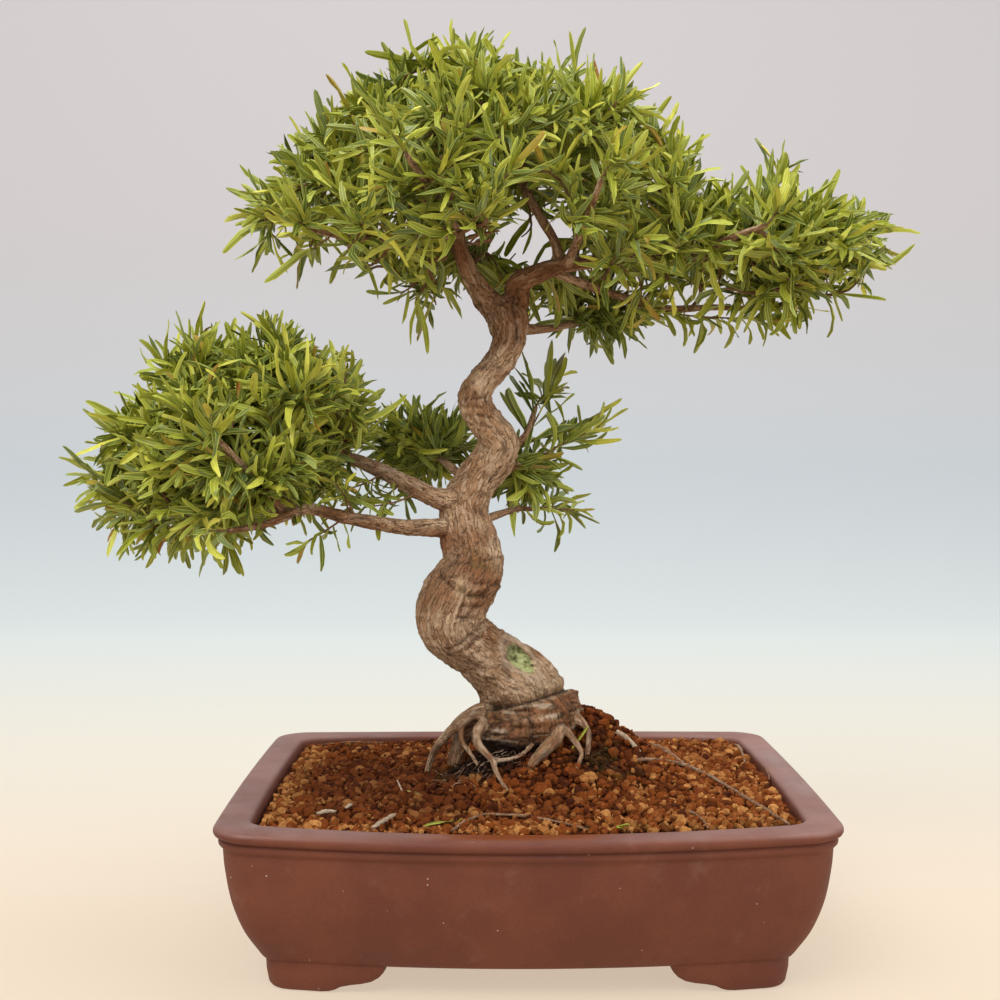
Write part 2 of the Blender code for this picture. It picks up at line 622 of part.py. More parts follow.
def grow_leaves(draw, path, outward, count, others):
    """Leaves in a spiral up the outer part of a twig, each bent clear of everything near it."""
    leaves, tests = [], []
    frames = frames_along(path)
    turn = draw.uniform(0, math.tau)
    for index in range(count):
        share = LEAF_ROWS[0] + (LEAF_ROWS[1] - LEAF_ROWS[0]) * index / (count - 1)
        place = share * (len(path) - 1)
        low = min(int(place), len(path) - 2)
        root = path[low].lerp(path[low + 1], place - low)
        tangent, side, up = frames[min(low + 1, len(path) - 1)]
        length = draw.uniform(*LEAF_LENGTH)
        width = draw.uniform(*LEAF_WIDTH)
        spread = draw.uniform(*LEAF_SPREAD) * (1.0 - LEAF_TIP_CLOSING * index / (count - 1))
        bend = draw.uniform(*LEAF_BEND)
        for attempt in range(LEAF_TRIES):
            angle = turn + index * LEAF_TURN + LEAF_TRY_TURN * attempt
            radial = math.cos(angle) * side + math.sin(angle) * up
            direction = tangent * math.cos(spread) + radial * math.sin(spread)
            direction = (direction + outward * LEAF_OUTWARD + Vector((0, 0, LEAF_UPWARD))).normalized()
            blade = (direction, tangent + Vector((0, 0, LEAF_FACING_UP)), length, width, bend)
            test = leaf_shape(root + direction * LEAF_FREE_FOOT, *blade, grow=LEAF_CLEARANCE)
            if touches(test, others) or touches(test, tests):
                continue
            leaves.append(leaf_shape(root, *blade))
            tests.append(BVHTree.FromPolygons(*test))
            break
    return leaves


def build_shoot(name, draw, seat, tip, outward, others, finish):
    """A shoot from its seat, a point just off the bark and the bark's outward direction, or None."""
    base, normal = seat
    reach = (tip - base).length
    path = shoot_path(base, normal, tip, TWIG_STEPS + (reach >= LONG_TWIG))
    free_path = [path[0] + normal * TWIG_FREE_FOOT, *path[1:]]
    if touches(twig_shape(free_path, normal, grow=TWIG_CLEARANCE), others):
        return None
    leaves = grow_leaves(draw, path, outward, LEAVES_PER_SHOOT, others)
    if len(leaves) < FEWEST_LEAVES:
        return None
    shoot = object_of(name, twig_shape(path, normal), finish)
    combine(shoot, leaves, "UNION")
    if not is_sound(shoot.data):
        bpy.data.objects.remove(shoot)
        return None
    lighten(shoot)
    return shoot


def dome_for(point):
    """The dome whose middle lies nearest, measured in its own half sizes."""
    def away(item):
        middle, (half_x, half_y, up, down), _ = item[1]
        x, y, z = (point[i] - middle[i] for i in range(3))
        return (x / half_x) ** 2 + (y / half_y) ** 2 + (z / (up if z > 0 else down)) ** 2
    return min(DOMES.items(), key=away)


def outward_from(point):
    middle = Vector(dome_for(point)[1][0]) - Vector((0, 0, DOME_ROOT_DROP))
    return (Vector(point) - middle).normalized()


def end_seats():
    """A seat on the end of every branch, and where its shoot reaches to."""
    for name, route in BRANCHES.items():
        end, before = Vector(route[-1][:3]), Vector(route[-2][:3])
        along = (end - before).normalized()
        yield name, (end + along * GAP, along), along


def dome_targets(middle, halves, count):
    """Points spread evenly over a dome, a shoot's depth under its surface."""
    half_x, half_y, up, down = halves
    for index in range(count):
        level = DOME_FIRST_LEVEL - DOME_LEVEL_RANGE * (index + 0.5) / count
        ring = math.sqrt(1 - level * level)
        angle = index * LEAF_TURN
        x, y, z = ring * math.cos(angle), ring * math.sin(angle), level
        z *= up - SHOOT_DEPTH if level > 0 else down - SHOOT_DEPTH * UNDERSIDE_DEPTH
        yield Vector(middle) + Vector((x * (half_x - SHOOT_DEPTH), y * (half_y - SHOOT_DEPTH), z))


def branch_points():
    """Places along the branches where a side shoot can grow, with the branch's direction."""
    for route in BRANCHES.values():
        for start, end in zip(route[1:], route[2:]):
            low, high = Vector(start[:3]), Vector(end[:3])
            steps = max(1, round((high - low).length / SEAT_SPACING))
            for step in range(steps):
                yield low.lerp(high, (step + 0.5) / steps), (high - low).normalized()


def side_seats(target, tree_surface):
    """Seats for a shoot that reaches the target, the best first."""
    ranked = []
    for point, along in branch_points():
        away = target - point
        reach = away.length
        if SHOOT_REACH[0] < reach < SHOOT_REACH[1]:
            cost = SEAT_COST * reach - SEAT_ALONG_GAIN * along.dot(away)
            ranked.append((cost, tuple(point), along))
    for _, point, along in sorted(ranked, key=lambda entry: entry[0])[:SEAT_TRIES]:
        point = Vector(point)
        away = target - point
        across = (away - along * along.dot(away)).normalized()
        hit, normal = tree_surface.ray_cast(point + across * SEAT_PROBE, -across, SEAT_PROBE)[:2]
        if hit is not None and normal.dot(across) > SEAT_SQUARENESS:
            yield hit + normal * GAP, normal


def grow_shoots(tree, fixed, finish):
    """A shoot at each branch's end, then more over each dome where there is room."""
    draw = random.Random(SEED)
    others = [surface_of(tree), *fixed]
    tree_surface = others[0]
    shoots = []
    for name, seat, along in end_seats():
        outward = outward_from(seat[0])
        for attempt in range(END_TRIES):
            aside = Vector([draw.uniform(-END_ASIDE, END_ASIDE) * attempt for axis in range(3)])
            heading = along * END_ALONG + outward * END_OUTWARD + Vector((0, 0, END_UPWARD)) + aside
            tip = seat[0] + heading.normalized() * draw.uniform(*END_REACH)
            shoot = build_shoot(f"shoot_{name}", draw, seat, tip, outward, others, finish)
            if shoot:
                shoots.append(shoot)
                others.append(surface_of(shoot))
                break
    for dome, (middle, halves, count) in DOMES.items():
        for number, target in enumerate(dome_targets(middle, halves, count), 1):
            for seat in side_seats(target, tree_surface):
                outward = outward_from(target)
                name = f"shoot_{dome}_{number:02d}"
                shoot = build_shoot(name, draw, seat, target, outward, others, finish)
                if shoot:
                    shoots.append(shoot)
                    others.append(surface_of(shoot))
                    break
    return shoots


def main():
    clear_scene()
    stoneware = material("stoneware", (0.16, 0.065, 0.045), 0.75)
    mesh_plastic = material("mesh_plastic", (0.03, 0.03, 0.03), 0.6)
    soil_grains = material("soil_grains", (0.30, 0.12, 0.04), 0.95)
    bark = material("bark", (0.33, 0.24, 0.16), 0.85)
    foliage = material("foliage", (0.20, 0.33, 0.04), 0.5)
    holder = bpy.data.objects.new("bonsai", None)
    bpy.context.scene.collection.objects.link(holder)
    holder.location = Vector(POT_SHIFT) * MM
    pot = build_pot(stoneware)
    screens = [build_screen("drain_screen_left", -HOLE_X, mesh_plastic),
               build_screen("drain_screen_right", HOLE_X, mesh_plastic)]
    tree = build_tree(bark)
    soil = build_soil(soil_grains, wood_in_soil(WOOD_GAP), (-HOLE_X, HOLE_X))
    shoots = grow_shoots(tree, [surface_of(soil), surface_of(pot)], foliage)
    for piece in [pot, *screens, soil, tree, *shoots]:
        piece.parent = holder


main()
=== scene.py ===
"""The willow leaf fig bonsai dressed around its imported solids.

All numbers are millimetres in the pot's own frame, as in the part's source, which has its origin on the
ground under the middle of the pot, X to the right, Y to the back and Z up.
"""

import math

import bmesh
import bpy
import numpy as np
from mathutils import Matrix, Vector


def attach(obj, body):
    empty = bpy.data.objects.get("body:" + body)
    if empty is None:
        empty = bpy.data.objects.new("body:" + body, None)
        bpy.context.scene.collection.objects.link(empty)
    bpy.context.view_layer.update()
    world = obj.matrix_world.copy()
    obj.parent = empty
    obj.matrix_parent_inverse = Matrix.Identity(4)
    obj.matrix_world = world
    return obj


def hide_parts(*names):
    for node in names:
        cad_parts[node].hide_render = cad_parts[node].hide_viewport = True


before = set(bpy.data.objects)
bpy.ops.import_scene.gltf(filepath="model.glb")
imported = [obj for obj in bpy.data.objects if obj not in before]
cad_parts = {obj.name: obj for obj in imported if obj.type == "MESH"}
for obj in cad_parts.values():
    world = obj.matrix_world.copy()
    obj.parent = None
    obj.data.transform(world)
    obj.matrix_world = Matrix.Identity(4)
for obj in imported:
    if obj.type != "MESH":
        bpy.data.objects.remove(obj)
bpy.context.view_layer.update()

MM = 0.001
POT_SHIFT = np.array((23.6, 2.6, 0.0))
SEED = 5

# Camera, by the photograph.
CAMERA_PLACE = (-19.3, -798.0, 284.3)
CAMERA_PITCH = math.atan(57.5 / 1373)
CAMERA_YAW = math.atan(9.1 / 1373)
CAMERA_LENS = 49.43

# Sweep of floor and backdrop, in m: half its width, its front end, where it starts to rise, the radius of
# its bend, and its height.
SWEEP_HALF_WIDTH = 4.0
SWEEP_FRONT = -1.6
SWEEP_BACK = 1.3
SWEEP_RADIUS = 0.6
SWEEP_HEIGHT = 3.2

# Lamps, in m and W: name, place, what they face, size and power. They come with an even glow all round.
LAMPS = (
    ("key", (-0.9, -1.3, 1.9), (0, 0, 0.25), (1.6, 1.2), 38),
    ("top", (0.3, 0.5, 2.1), (0, 0.1, 0.2), (2.4, 1.4), 30),
    ("fill", (1.6, -1.0, 1.0), (0, 0, 0.25), (1.4, 1.4), 12),
)
GLOW_COLOR = (0.95, 0.97, 1.0, 1.0)
GLOW_STRENGTH = 0.65

# Share of the backdrop's color that it reflects, and that it glows with.
BACKDROP_SHADE = 0.28
BACKDROP_GLOW = 0.66
# Painted light: the backdrop's color and glow along its sheet, by depth plus height in m, up to its top.
BACKDROP_TOP = 3.2
BACKDROP_COLORS = (
    (0.0, (0.88, 0.73, 0.57)),
    (0.45, (0.83, 0.78, 0.67)),
    (1.2, (0.75, 0.80, 0.78)),
    (2.0, (0.59, 0.63, 0.65)),
    (2.6, (0.66, 0.62, 0.62)),
)

# Pot.
RIM_LENGTH = 322.4
RIM_DEPTH = 240.0
LONG_SIDE_BOW = 13.0
SHORT_SIDE_BOW = 2.0
CORNER_RADIUS = 18.0
POT_HEIGHT = 90.0
RIM_SAG = 2.3
SAG_FROM = 45.0
UNDERSIDE = 15.5
FLOOR_TOP = 23.5
WALL_PROFILE = ((21.7, 18.8), (14.0, 32.5), (8.5, 48.7), (5.6, 66.0), (4.7, 77.6))
RIM_PROFILE = (
    (3.6, 78.9), (2.8, 80.0), (2.6, 81.3), (2.9, 82.6), (3.4, 83.4), (3.3, 83.9), (1.9, 84.3), (0.8, 85.0),
    (0.3, 86.2), (0.3, 87.6), (0.8, 88.8), (1.7, 89.6), (3.0, 90.0), (9.0, 90.0), (15.6, 90.0),
    (16.7, 89.7), (17.5, 88.9), (18.2, 87.6), (18.8, 85.0),
)
INNER_PROFILE = ((19.1, 72.0), (19.4, 60.0), (21.5, 47.0), (25.0, 36.0), (30.5, 28.0), (38.0, FLOOR_TOP))
FOOT_LONG_ARM = 63.5
FOOT_SHORT_ARM = 50.0
FOOT_INSET = 24.5
FOOT_THICKNESS = 13.0
FOOT_RISES = ((0.0, 14.0), (1.5, 11.4), (4.0, 8.6), (8.0, 6.3), (13.0, 5.0), (19.0, 4.1), (24.0, 2.9),
              (27.0, 1.3), (30.0, 0.4), (34.0, 0.0), (53.0, 0.0))
HOLE_RADIUS = 8.0
HOLE_X = 72.0

# Soil.
SOIL_LEVEL = 84.5
SOIL_RIGHT_RISE = 3.0
MOUNDS = ((4.0, 6.0, 22.0, 30.0), (41.0, 28.0, 29.0, 26.0))
SOIL_INSET = 20.2
# Layers of lumps: piece, spacing, least and greatest radius, how finely cut, how deep they sink, and the
# share that stays on humus, where 1 stands for lumps that lie only there.
GRANULES = (
    ("granules_large", 6.6, (1.8, 4.0), 2, 0.3, 0.07),
    ("granules_small", 4.2, (1.0, 2.3), 1, 0.1, 0.45),
    ("crumbs", 2.5, (0.45, 1.25), 1, 0.0, 1.0),
)
# How much the granules' tones differ from each other.
GRANULE_TONES = 0.24

# Trunk from its foot in the soil up to the fork, as (x, y, z, radius).
TRUNK = (
    (5, 15, 86, 16), (5, 15, 98, 18), (3, 13, 107, 23), (2, 12, 114, 29), (2, 12, 122, 30),
    (-0.6, 12, 130, 26.6), (-4, 11, 140, 23.4), (-15.4, 8, 152.5, 19.4), (-27, 3, 163, 17.5),
    (-38.8, -3, 172.6, 18.3),
    (-43.8, -7, 183, 20.1), (-41, -9, 194, 20.4), (-35, -8, 203.5, 19.4), (-30.8, -5, 211.6, 17.8),
    (-30.5, -1, 220, 16.9), (-34, 4, 231, 16.0), (-36.1, 9, 243, 14.7), (-33.2, 12, 253.2, 13.8),
    (-26.4, 14, 264.4, 12.8), (-18.3, 13, 275.6, 12.9), (-15.4, 10, 285.5, 12.6), (-20.1, 6, 294.1, 11.3),
    (-26.9, 2, 302.6, 10.5), (-28.7, -2, 311, 10.4), (-25, -4, 318.8, 9.5), (-17, -4, 328, 8.8),
    (-11.6, -2, 336.5, 9.3), (-9.2, 0, 346.3, 11.0), (-10.2, 2, 355, 12.6), (-13.5, 3, 362, 10.6),
)
TRUNK_LOBES = ((2, 0.05, 0.6), (3, 0.045, 2.1), (5, 0.03, 4.0))

# Surface roots, as (x, y, z, radius), from inside the collar down into the soil.
ROOTS = (
    ((-14, 8, 124, 9.0), (-24, 2, 127, 6.6), (-32, 3, 124, 4.8), (-40, 4, 117.5, 3.9), (-47, 6, 110, 3.2),
     (-52.5, 8, 102.5, 2.7), (-56, 10, 93, 2.3), (-58, 12, 83, 1.9)),
    ((-36, 4, 120, 2.2), (-36.5, -1, 110.5, 1.8), (-31.5, -8, 104.5, 1.6), (-26.5, -13, 98, 1.4)),
    ((-20, 0, 122, 5.5), (-27, -10, 117, 3.9), (-27, -17, 112, 3.0), (-23, -21, 108, 2.6),
     (-18.5, -25, 104, 2.3), (-16.5, -31, 99, 1.9), (-13, -37, 94, 1.6), (-9, -42, 88, 1.4),
     (-7, -44, 82, 1.2)),
    ((-18.5, -25, 104, 1.9), (-11.5, -24, 104, 1.6), (-3.5, -21, 105.5, 1.5), (4, -17, 110.5, 1.4),
     (8, -11, 116, 1.4)),
    ((20, -6, 120, 5.0), (18, -15, 114, 4.6), (11.5, -19, 108.5, 4.2), (6, -22, 103.5, 3.4),
     (1, -24, 96, 2.4)),
    ((30, 2, 124, 4.0), (37, -4, 117, 2.2), (37, -10, 109, 1.9), (35.5, -14, 100, 1.5)),
    ((24, -8, 118, 3.0), (32.5, -16, 107, 1.7), (30.5, -23, 101, 1.6), (26.5, -31, 92, 1.3)),
    ((-12, 22, 122, 9.0), (-24, 32, 114, 6.0), (-37, 42, 100, 4.0), (-48, 50, 83, 2.6)),
    ((6, 28, 122, 10.0), (8, 42, 112, 6.0), (5, 56, 98, 4.0), (2, 66, 82, 2.6)),
    ((-12, 12, 121, 9.0), (-24, 11, 119, 8.0), (-33, 12, 114, 7.2), (-38, 13, 104, 6.0), (-41, 14, 92, 5.0),
     (-42, 15, 82, 4.0)),
)

# Branches, as (x, y, z, radius).
BRANCHES = {
    "left_low": ((-36, 2, 234, 7.8), (-51, -4, 235, 5.8), (-71, -12, 236, 4.8), (-102, -20, 242, 4.1),
                 (-122, -22, 247, 3.4), (-135, -25, 245, 2.9), (-154, -30, 249, 2.5), (-174, -29, 253, 2.1),
                 (-190, -25, 252, 1.7), (-204, -20, 247, 1.4)),
    "left_low_front": ((-127, -23, 246, 2.6), (-141, -42, 240, 2.2), (-151, -54, 238, 1.8),
                       (-160, -62, 237, 1.5)),
    "left_low_back": ((-122, -22, 247, 2.8), (-150, -2, 254, 2.3), (-173, 16, 254, 1.9),
                      (-192, 30, 254, 1.5)),
    "left_low_up": ((-135, -25, 245, 2.4), (-147, -55, 265, 2.0), (-161, -74, 284, 1.5)),
    "left_high": ((-36, 6, 249, 8.6), (-51, 2, 252, 6.8), (-67, 8, 259, 5.6), (-85, 15, 268, 4.5),
                  (-106, 20, 276, 3.5), (-127, 22, 279, 2.8), (-146, 20, 286, 2.4), (-180, 13, 286, 1.9),
                  (-204, 7, 290, 1.5)),
    "left_high_top": ((-106, 20, 276, 2.6), (-119, 8, 297, 2.1), (-132, -5, 315, 1.8),
                      (-142, -12, 328, 1.5)),
    "left_high_back": ((-106, 20, 276, 2.6), (-118, 45, 291, 2.1), (-139, 66, 303, 1.7),
                       (-160, 80, 309, 1.4)),
    "left_high_mid": ((-146, 20, 286, 2.2), (-168, 45, 301, 1.8), (-192, 60, 309, 1.4)),
    "left_high_tip": ((-178, 13, 286, 1.9), (-189, -3, 303, 1.6), (-197, -14, 314, 1.4)),
    "left_high_front": ((-127, 22, 279, 2.4), (-128, -18, 296, 1.9), (-122, -48, 307, 1.4)),
    "crown_left": ((-13, 3, 358, 9.8), (-22, 2, 367, 8.2), (-31, -2, 381, 6.3), (-36, -7, 392, 5.4),
                   (-40, -12, 408, 4.6), (-48, -15, 415, 4.0), (-65, -20, 432, 3.2), (-76, -22, 448, 2.4),
                   (-82, -20, 462, 1.7)),
    "crown_left_low": ((-41, -12, 403, 3.0), (-67, -27, 396, 2.4), (-94, -40, 396, 1.9),
                       (-114, -45, 399, 1.4)),
    "crown_left_back": ((-36, -7, 392, 3.6), (-53, 40, 413, 2.7), (-74, 74, 436, 2.1), (-88, 92, 455, 1.5)),
    "crown_left_front": ((-40, -12, 407, 3.4), (-47, -50, 413, 2.6), (-55, -78, 422, 2.0),
                         (-62, -94, 430, 1.5)),
    "crown_left_far": ((-65, -20, 432, 2.6), (-86, -8, 435, 2.1), (-104, 3, 436, 1.7), (-118, 9, 438, 1.3)),
    "crown_middle": ((-48, -15, 415, 2.8), (-33, -38, 436, 2.1), (-24, -54, 457, 1.5)),
    "crown_right": ((-10, 2, 358, 9.4), (-5, 3, 367, 8.0), (-4, 0, 375, 6.8), (2, -4, 379, 6.0),
                    (14, -10, 383, 5.1), (24, -15, 385, 4.7), (43, -15, 387, 4.1), (66, -12, 389, 3.6),
                    (95, -6, 390, 3.1), (130, 0, 389, 2.6), (147, 2, 389, 2.2), (160, 3, 392, 1.8),
                    (172, 3, 395, 1.4)),
    "crown_riser": ((20, -13, 385, 3.6), (17, -10, 399, 2.9), (8, -6, 415, 2.7), (0, -2, 432, 2.4),
                    (-2, 2, 450, 2.0), (-5, 4, 464, 1.5)),
    "crown_riser_back": ((1, -3, 430, 2.4), (-14, 34, 453, 1.9), (-22, 52, 466, 1.4)),
    "crown_riser_right": ((1, -3, 430, 2.4), (24, -27, 447, 1.9), (40, -40, 459, 1.4)),
    "crown_front": ((24, -15, 385, 3.4), (28, -50, 394, 2.5), (33, -76, 407, 2.0), (37, -92, 418, 1.5)),
    "crown_back": ((43, -15, 387, 3.4), (54, 35, 408, 2.6), (63, 68, 428, 2.0), (68, 86, 444, 1.5)),
    "crown_far_right": ((66, -12, 389, 2.8), (76, 2, 416, 2.1), (83, 12, 437, 1.5)),
    "right_low": ((14, -10, 383, 3.2), (45, 15, 374, 2.5), (71, 30, 369, 2.3), (90, 35, 365, 2.1),
                  (114, 36, 366, 1.9), (136, 32, 365, 1.6), (152, 26, 366, 1.3)),
    "right_front": ((95, -6, 390, 2.6), (113, -34, 397, 1.9), (130, -50, 402, 1.4)),
    "right_back": ((130, 0, 389, 2.2), (146, 25, 401, 1.7), (158, 38, 408, 1.4)),
    "right_up": ((110, -3, 390, 2.4), (128, -6, 408, 1.9), (140, -4, 422, 1.4)),
    "back_high": ((-8, 6, 350, 4.0), (15, 22, 352, 2.5), (34, 42, 357, 2.1), (66, 64, 361, 1.5)),
    "back_upper": ((-14, 11, 275, 3.0), (0, 26, 287, 2.0), (5, 36, 297, 1.7), (8, 42, 306, 1.4)),
    "back_mid": ((-17, 13, 267, 3.0), (2, 26, 272, 2.0), (13, 35, 276, 1.6), (20, 42, 281, 1.3)),
    "back_low": ((-32, 5, 236, 3.2), (-6, 24, 244, 1.9), (4, 34, 244, 1.5), (11, 42, 244, 1.3)),
    "back_left": ((-30, 14, 258, 3.4), (-46, 45, 271, 2.3), (-63, 65, 281, 1.8), (-82, 80, 288, 1.4)),
}

# Pads that the foliage fills: middle, how far it reaches every 15 degrees seen from the front and turning
# from the right by the top, how far it reaches to front and back, and how many twigs end in it.
PADS = {
    "crown": ((-22, 0, 404), (150, 138, 130, 119, 107, 100, 102, 121, 118, 119, 130, 132,
                              152, 98, 57, 48, 42, 38, 36, 38, 44, 60, 90, 150), 108, 440),
    "right": ((148, 2, 385), (76, 76, 72, 60, 50, 44, 40, 42, 56, 75, 90, 100,
                              105, 85, 62, 50, 46, 43, 42, 42, 44, 50, 60, 70), 60, 120),
    "left": ((-166, -4, 274), (78, 90, 100, 98, 97, 73, 70, 87, 72, 62, 64, 80,
                               90, 102, 99, 86, 77, 75, 60, 52, 52, 60, 70, 74), 84, 290),
    "behind_fork": ((48, 44, 362), (42, 20, 16), 26, 22),
    "behind_middle": ((0, 30, 262), (20, 26, 24), 14, 12),
    "behind_left": ((-62, 66, 280), (44, 28, 28), 26, 36),
    "under_fork": ((-58, 6, 372), (34, 14, 22), 30, 12),
}
# How far inside a pad's edge its twigs end, at its top and at its underside, where leaves hang.
TWIG_END_DEPTH = 17.0
UNDERSIDE_DEPTH = 28.0

# Places kept free of leaves, so that limbs show: a stretch seen from the front as (x, z) to (x, z), how
# wide, and back to which depth.
CLEARINGS = (
    ((-14, 364), (-36, 394), 13.0, 6.0),
    ((-6, 369), (30, 385), 12.0, -4.0),
    ((21, 386), (1, 430), 7.5, -4.0),
    ((-10, 392), (2, 402), 12.0, 30.0),
    ((-38, 254), (-104, 277), 6.5, 14.0),
    ((-38, 236), (-128, 247), 7.0, -10.0),
    ((-112, 399), (-168, 401), 3.5, -20.0),
    ((-186, 290), (-152, 287), 2.2, -14.0),
)

# Bands seen from the front where few leaves hang, as above, with the share that is left out.
THINNED = (
    ((-30, 405), (6, 398), 18.0, 0.95),
    ((14, 406), (24, 400), 13.0, 0.75),
    ((36, 374), (205, 375), 11.0, 0.8),
    ((-114, 388), (-34, 360), 18.0, 0.8),
    ((-172, 418), (-144, 402), 9.0, 0.6),
)

# Open sprays behind the trunk and between the left limbs: shoot, twig, shortest and longest leaf,
# narrowest and broadest leaf, leaves, and how far down the twig they sit.
LIMB_SHOOT = "shoot_back_left"
SPRAYS = (
    ("shoot_back_upper", ((-2, 34, 279), (8, 40, 298), (19, 44, 318)), (30, 48), (4.0, 6.8), 16, 46.0),
    ("shoot_back_mid", ((2, 26, 272), (22, 36, 282), (47, 42, 294)), (20, 34), (3.0, 4.6), 22, 52.0),
    ("shoot_back_low", ((-5, 24, 244), (14, 36, 244), (32, 42, 243)), (16, 26), (2.6, 3.8), 13, 42.0),
    ("shoot_right_low", ((58, 22, 368), (100, 36, 361), (150, 27, 358)), (18, 28), (2.6, 4.0), 64, 96.0),
    ("shoot_back_high", ((60, 60, 361), (66, 50, 364), (80, 40, 368)), (20, 30), (3.0, 4.4), 16, 30.0),
    (LIMB_SHOOT, ((-60, 4, 256), (-74, -4, 250), (-92, -10, 247)), (15, 26), (2.6, 3.8), 22, 34.0),
    (LIMB_SHOOT, ((-72, 10, 260), (-84, 16, 252), (-98, 20, 250)), (15, 26), (2.6, 3.8), 20, 30.0),
    (LIMB_SHOOT, ((-82, 14, 267), (-94, 2, 260), (-112, -8, 255)), (15, 26), (2.6, 3.8), 20, 34.0),
    (LIMB_SHOOT, ((-102, -20, 242), (-112, -26, 235), (-124, -30, 228)), (15, 24), (2.6, 3.8), 10, 26.0),
    (LIMB_SHOOT, ((-96, -18, 241), (-100, -28, 252), (-106, -34, 262)), (15, 24), (2.6, 3.8), 10, 26.0),
)

# How broad a blade is along its length, for the leaves outside and for the simpler ones deep inside.
BLADE = (np.array((0.0, 0.12, 0.32, 0.56, 0.80, 0.945)), np.array((0.16, 0.50, 0.86, 1.0, 0.88, 0.55)))
INNER_BLADE = (np.array((0.0, 0.32, 0.76)), np.array((0.2, 1.0, 0.66)))
# Shortest and longest leaf, narrowest and broadest leaf, leaves on a twig, 0 for as many as fit, and how
# far down the twig they sit.
LEAF_SIZES = ((18.0, 36.0), (2.6, 4.4), 0, 30.0)
# Leaves deep inside on each twig, and how far under the middle of its pad they may hang.
INNER_LEAVES = 9
INNER_FLOOR = -16.0
# Shoots behind the trunk, whose leaves are darker.
SHADED = "shoot_back"
INNER_LENGTHS = (16, 27)
INNER_WIDTHS = (3.4, 5.2)
# Inner leaves count as this old, which paints them dark as shade deep in the pad.
INNER_AGE = 1.4
# Each leaf sits this much further round its twig than the last.
GOLDEN_TURN = 2.39996
# How far a blade's back stands off its midrib, and how far leaves stay off thick wood.
LEAF_THICKNESS = 0.45
LIMB_CLEARANCE = 0.8

# Marks in the bark. The girdle is a groove on a slant, with a swollen roll above it and a collar below.
GIRDLE_HEIGHT = 133.5
GIRDLE_SLOPE = (0.228, -0.073)
WOUND_PLACE = (-0.5, -7.0, 160.0)
WOUND_AXIS = (13.9, -2.2, -14.3)
WOUND_HALF = (11.5, 5.6)
CREASES = (
    (1.5, 1.5, ((-50, -19.7, 210.7), (-44.6, -25.9, 206.2), (-38.9, -28.7, 201.4), (-30.5, -27, 197.3),
                (-22.7, -21.7, 197.3), (-18.7, -18.7, 202.6), (-12.3, -7.1, 204.3))),
    (0.9, 1.2, ((-45.8, -23.7, 209.4), (-35, -26.8, 207.5), (-27.2, -25.4, 204.5), (-19.3, -19.7, 204.5))),
    (1, 1.3, ((-21, -3.2, 180), (-28.4, -18.3, 176.3), (-36.3, -21.8, 169.9), (-43.7, -20.5, 166.3))),
    (0.8, 1.1, ((-20.4, -7.6, 177.1), (-27.3, -17, 170.9), (-32.4, -18.6, 166))),
    (0.8, 1.1, ((-22.2, -9.3, 184.3), (-30, -23.4, 183.8), (-37.9, -27.7, 185.5))),
    (0.7, 1, ((-23.2, -19.5, 191.3), (-30, -25.8, 190.4), (-35.6, -28.4, 192.4))),
    (0.9, 1.1, ((-24.9, -11.2, 327.4), (-19.8, -12.4, 327.9), (-13.5, -12, 326.8), (-6.5, -3.2, 326.1))),
    (0.8, 1, ((-34.7, -10.1, 308.6), (-28.9, -12.1, 309.1), (-23.2, -10.8, 309.7), (-18.7, -3.5, 307.7))),
    (0.8, 1, ((-34.7, -8, 304.1), (-27.8, -10.3, 304.6), (-21, -6.6, 303.6), (-14.6, 4.7, 305))),
    (0.7, 1, ((-33.6, -5.9, 299.5), (-26.7, -8.2, 300.1), (-19.8, -5.7, 298.4))),
    (0.6, 1, ((-31.4, -3.4, 294.4), (-25, -6.1, 294.9), (-18.1, -4.8, 292.7))),
    (1.2, 1.6, ((-6.6, -4.5, 367.9), (-6.1, -8.5, 360.1), (-3.8, -9.4, 351.4), (-3.2, -8.8, 344.1))),
    (0.7, 1, ((-41.4, -20, 217.6), (-31.1, -22.6, 216.7), (-21, -18.5, 217.5), (-14.1, -8.8, 218.4))),
    (0.6, 1, ((-22.2, -10.1, 147.9), (-11.2, -12.1, 145.9), (2, -11.9, 146.4))),
    (0.6, 1, ((-23.3, -6.7, 142), (-14.1, -11.1, 140.5), (-2.6, -13, 141.9), (12, -8.5, 144.6))),
)
KNOTS = (
    ((-16.4, -15.3, 204.6), 2.6),
    ((-35.3, -12.6, 233.1), 2.2),
    ((-23.8, -2.7, 358.9), 2.2),
    ((-12.4, -10.4, 355.3), 2),
    ((-29.5, -12.4, 318.2), 2.2),
    ((-8.3, -7.2, 326.5), 1.8),
    ((-28.4, -18.9, 222.6), 2),
    ((-23.3, 1.4, 266.6), 1.4),
    ((-14, 2.6, 269.4), 1.3),
    ((-22.7, 3, 254.3), 1.5),
    ((-21.6, -10.6, 230.6), 1.6),
    ((-36.6, -2.8, 252.2), 1.3),
)

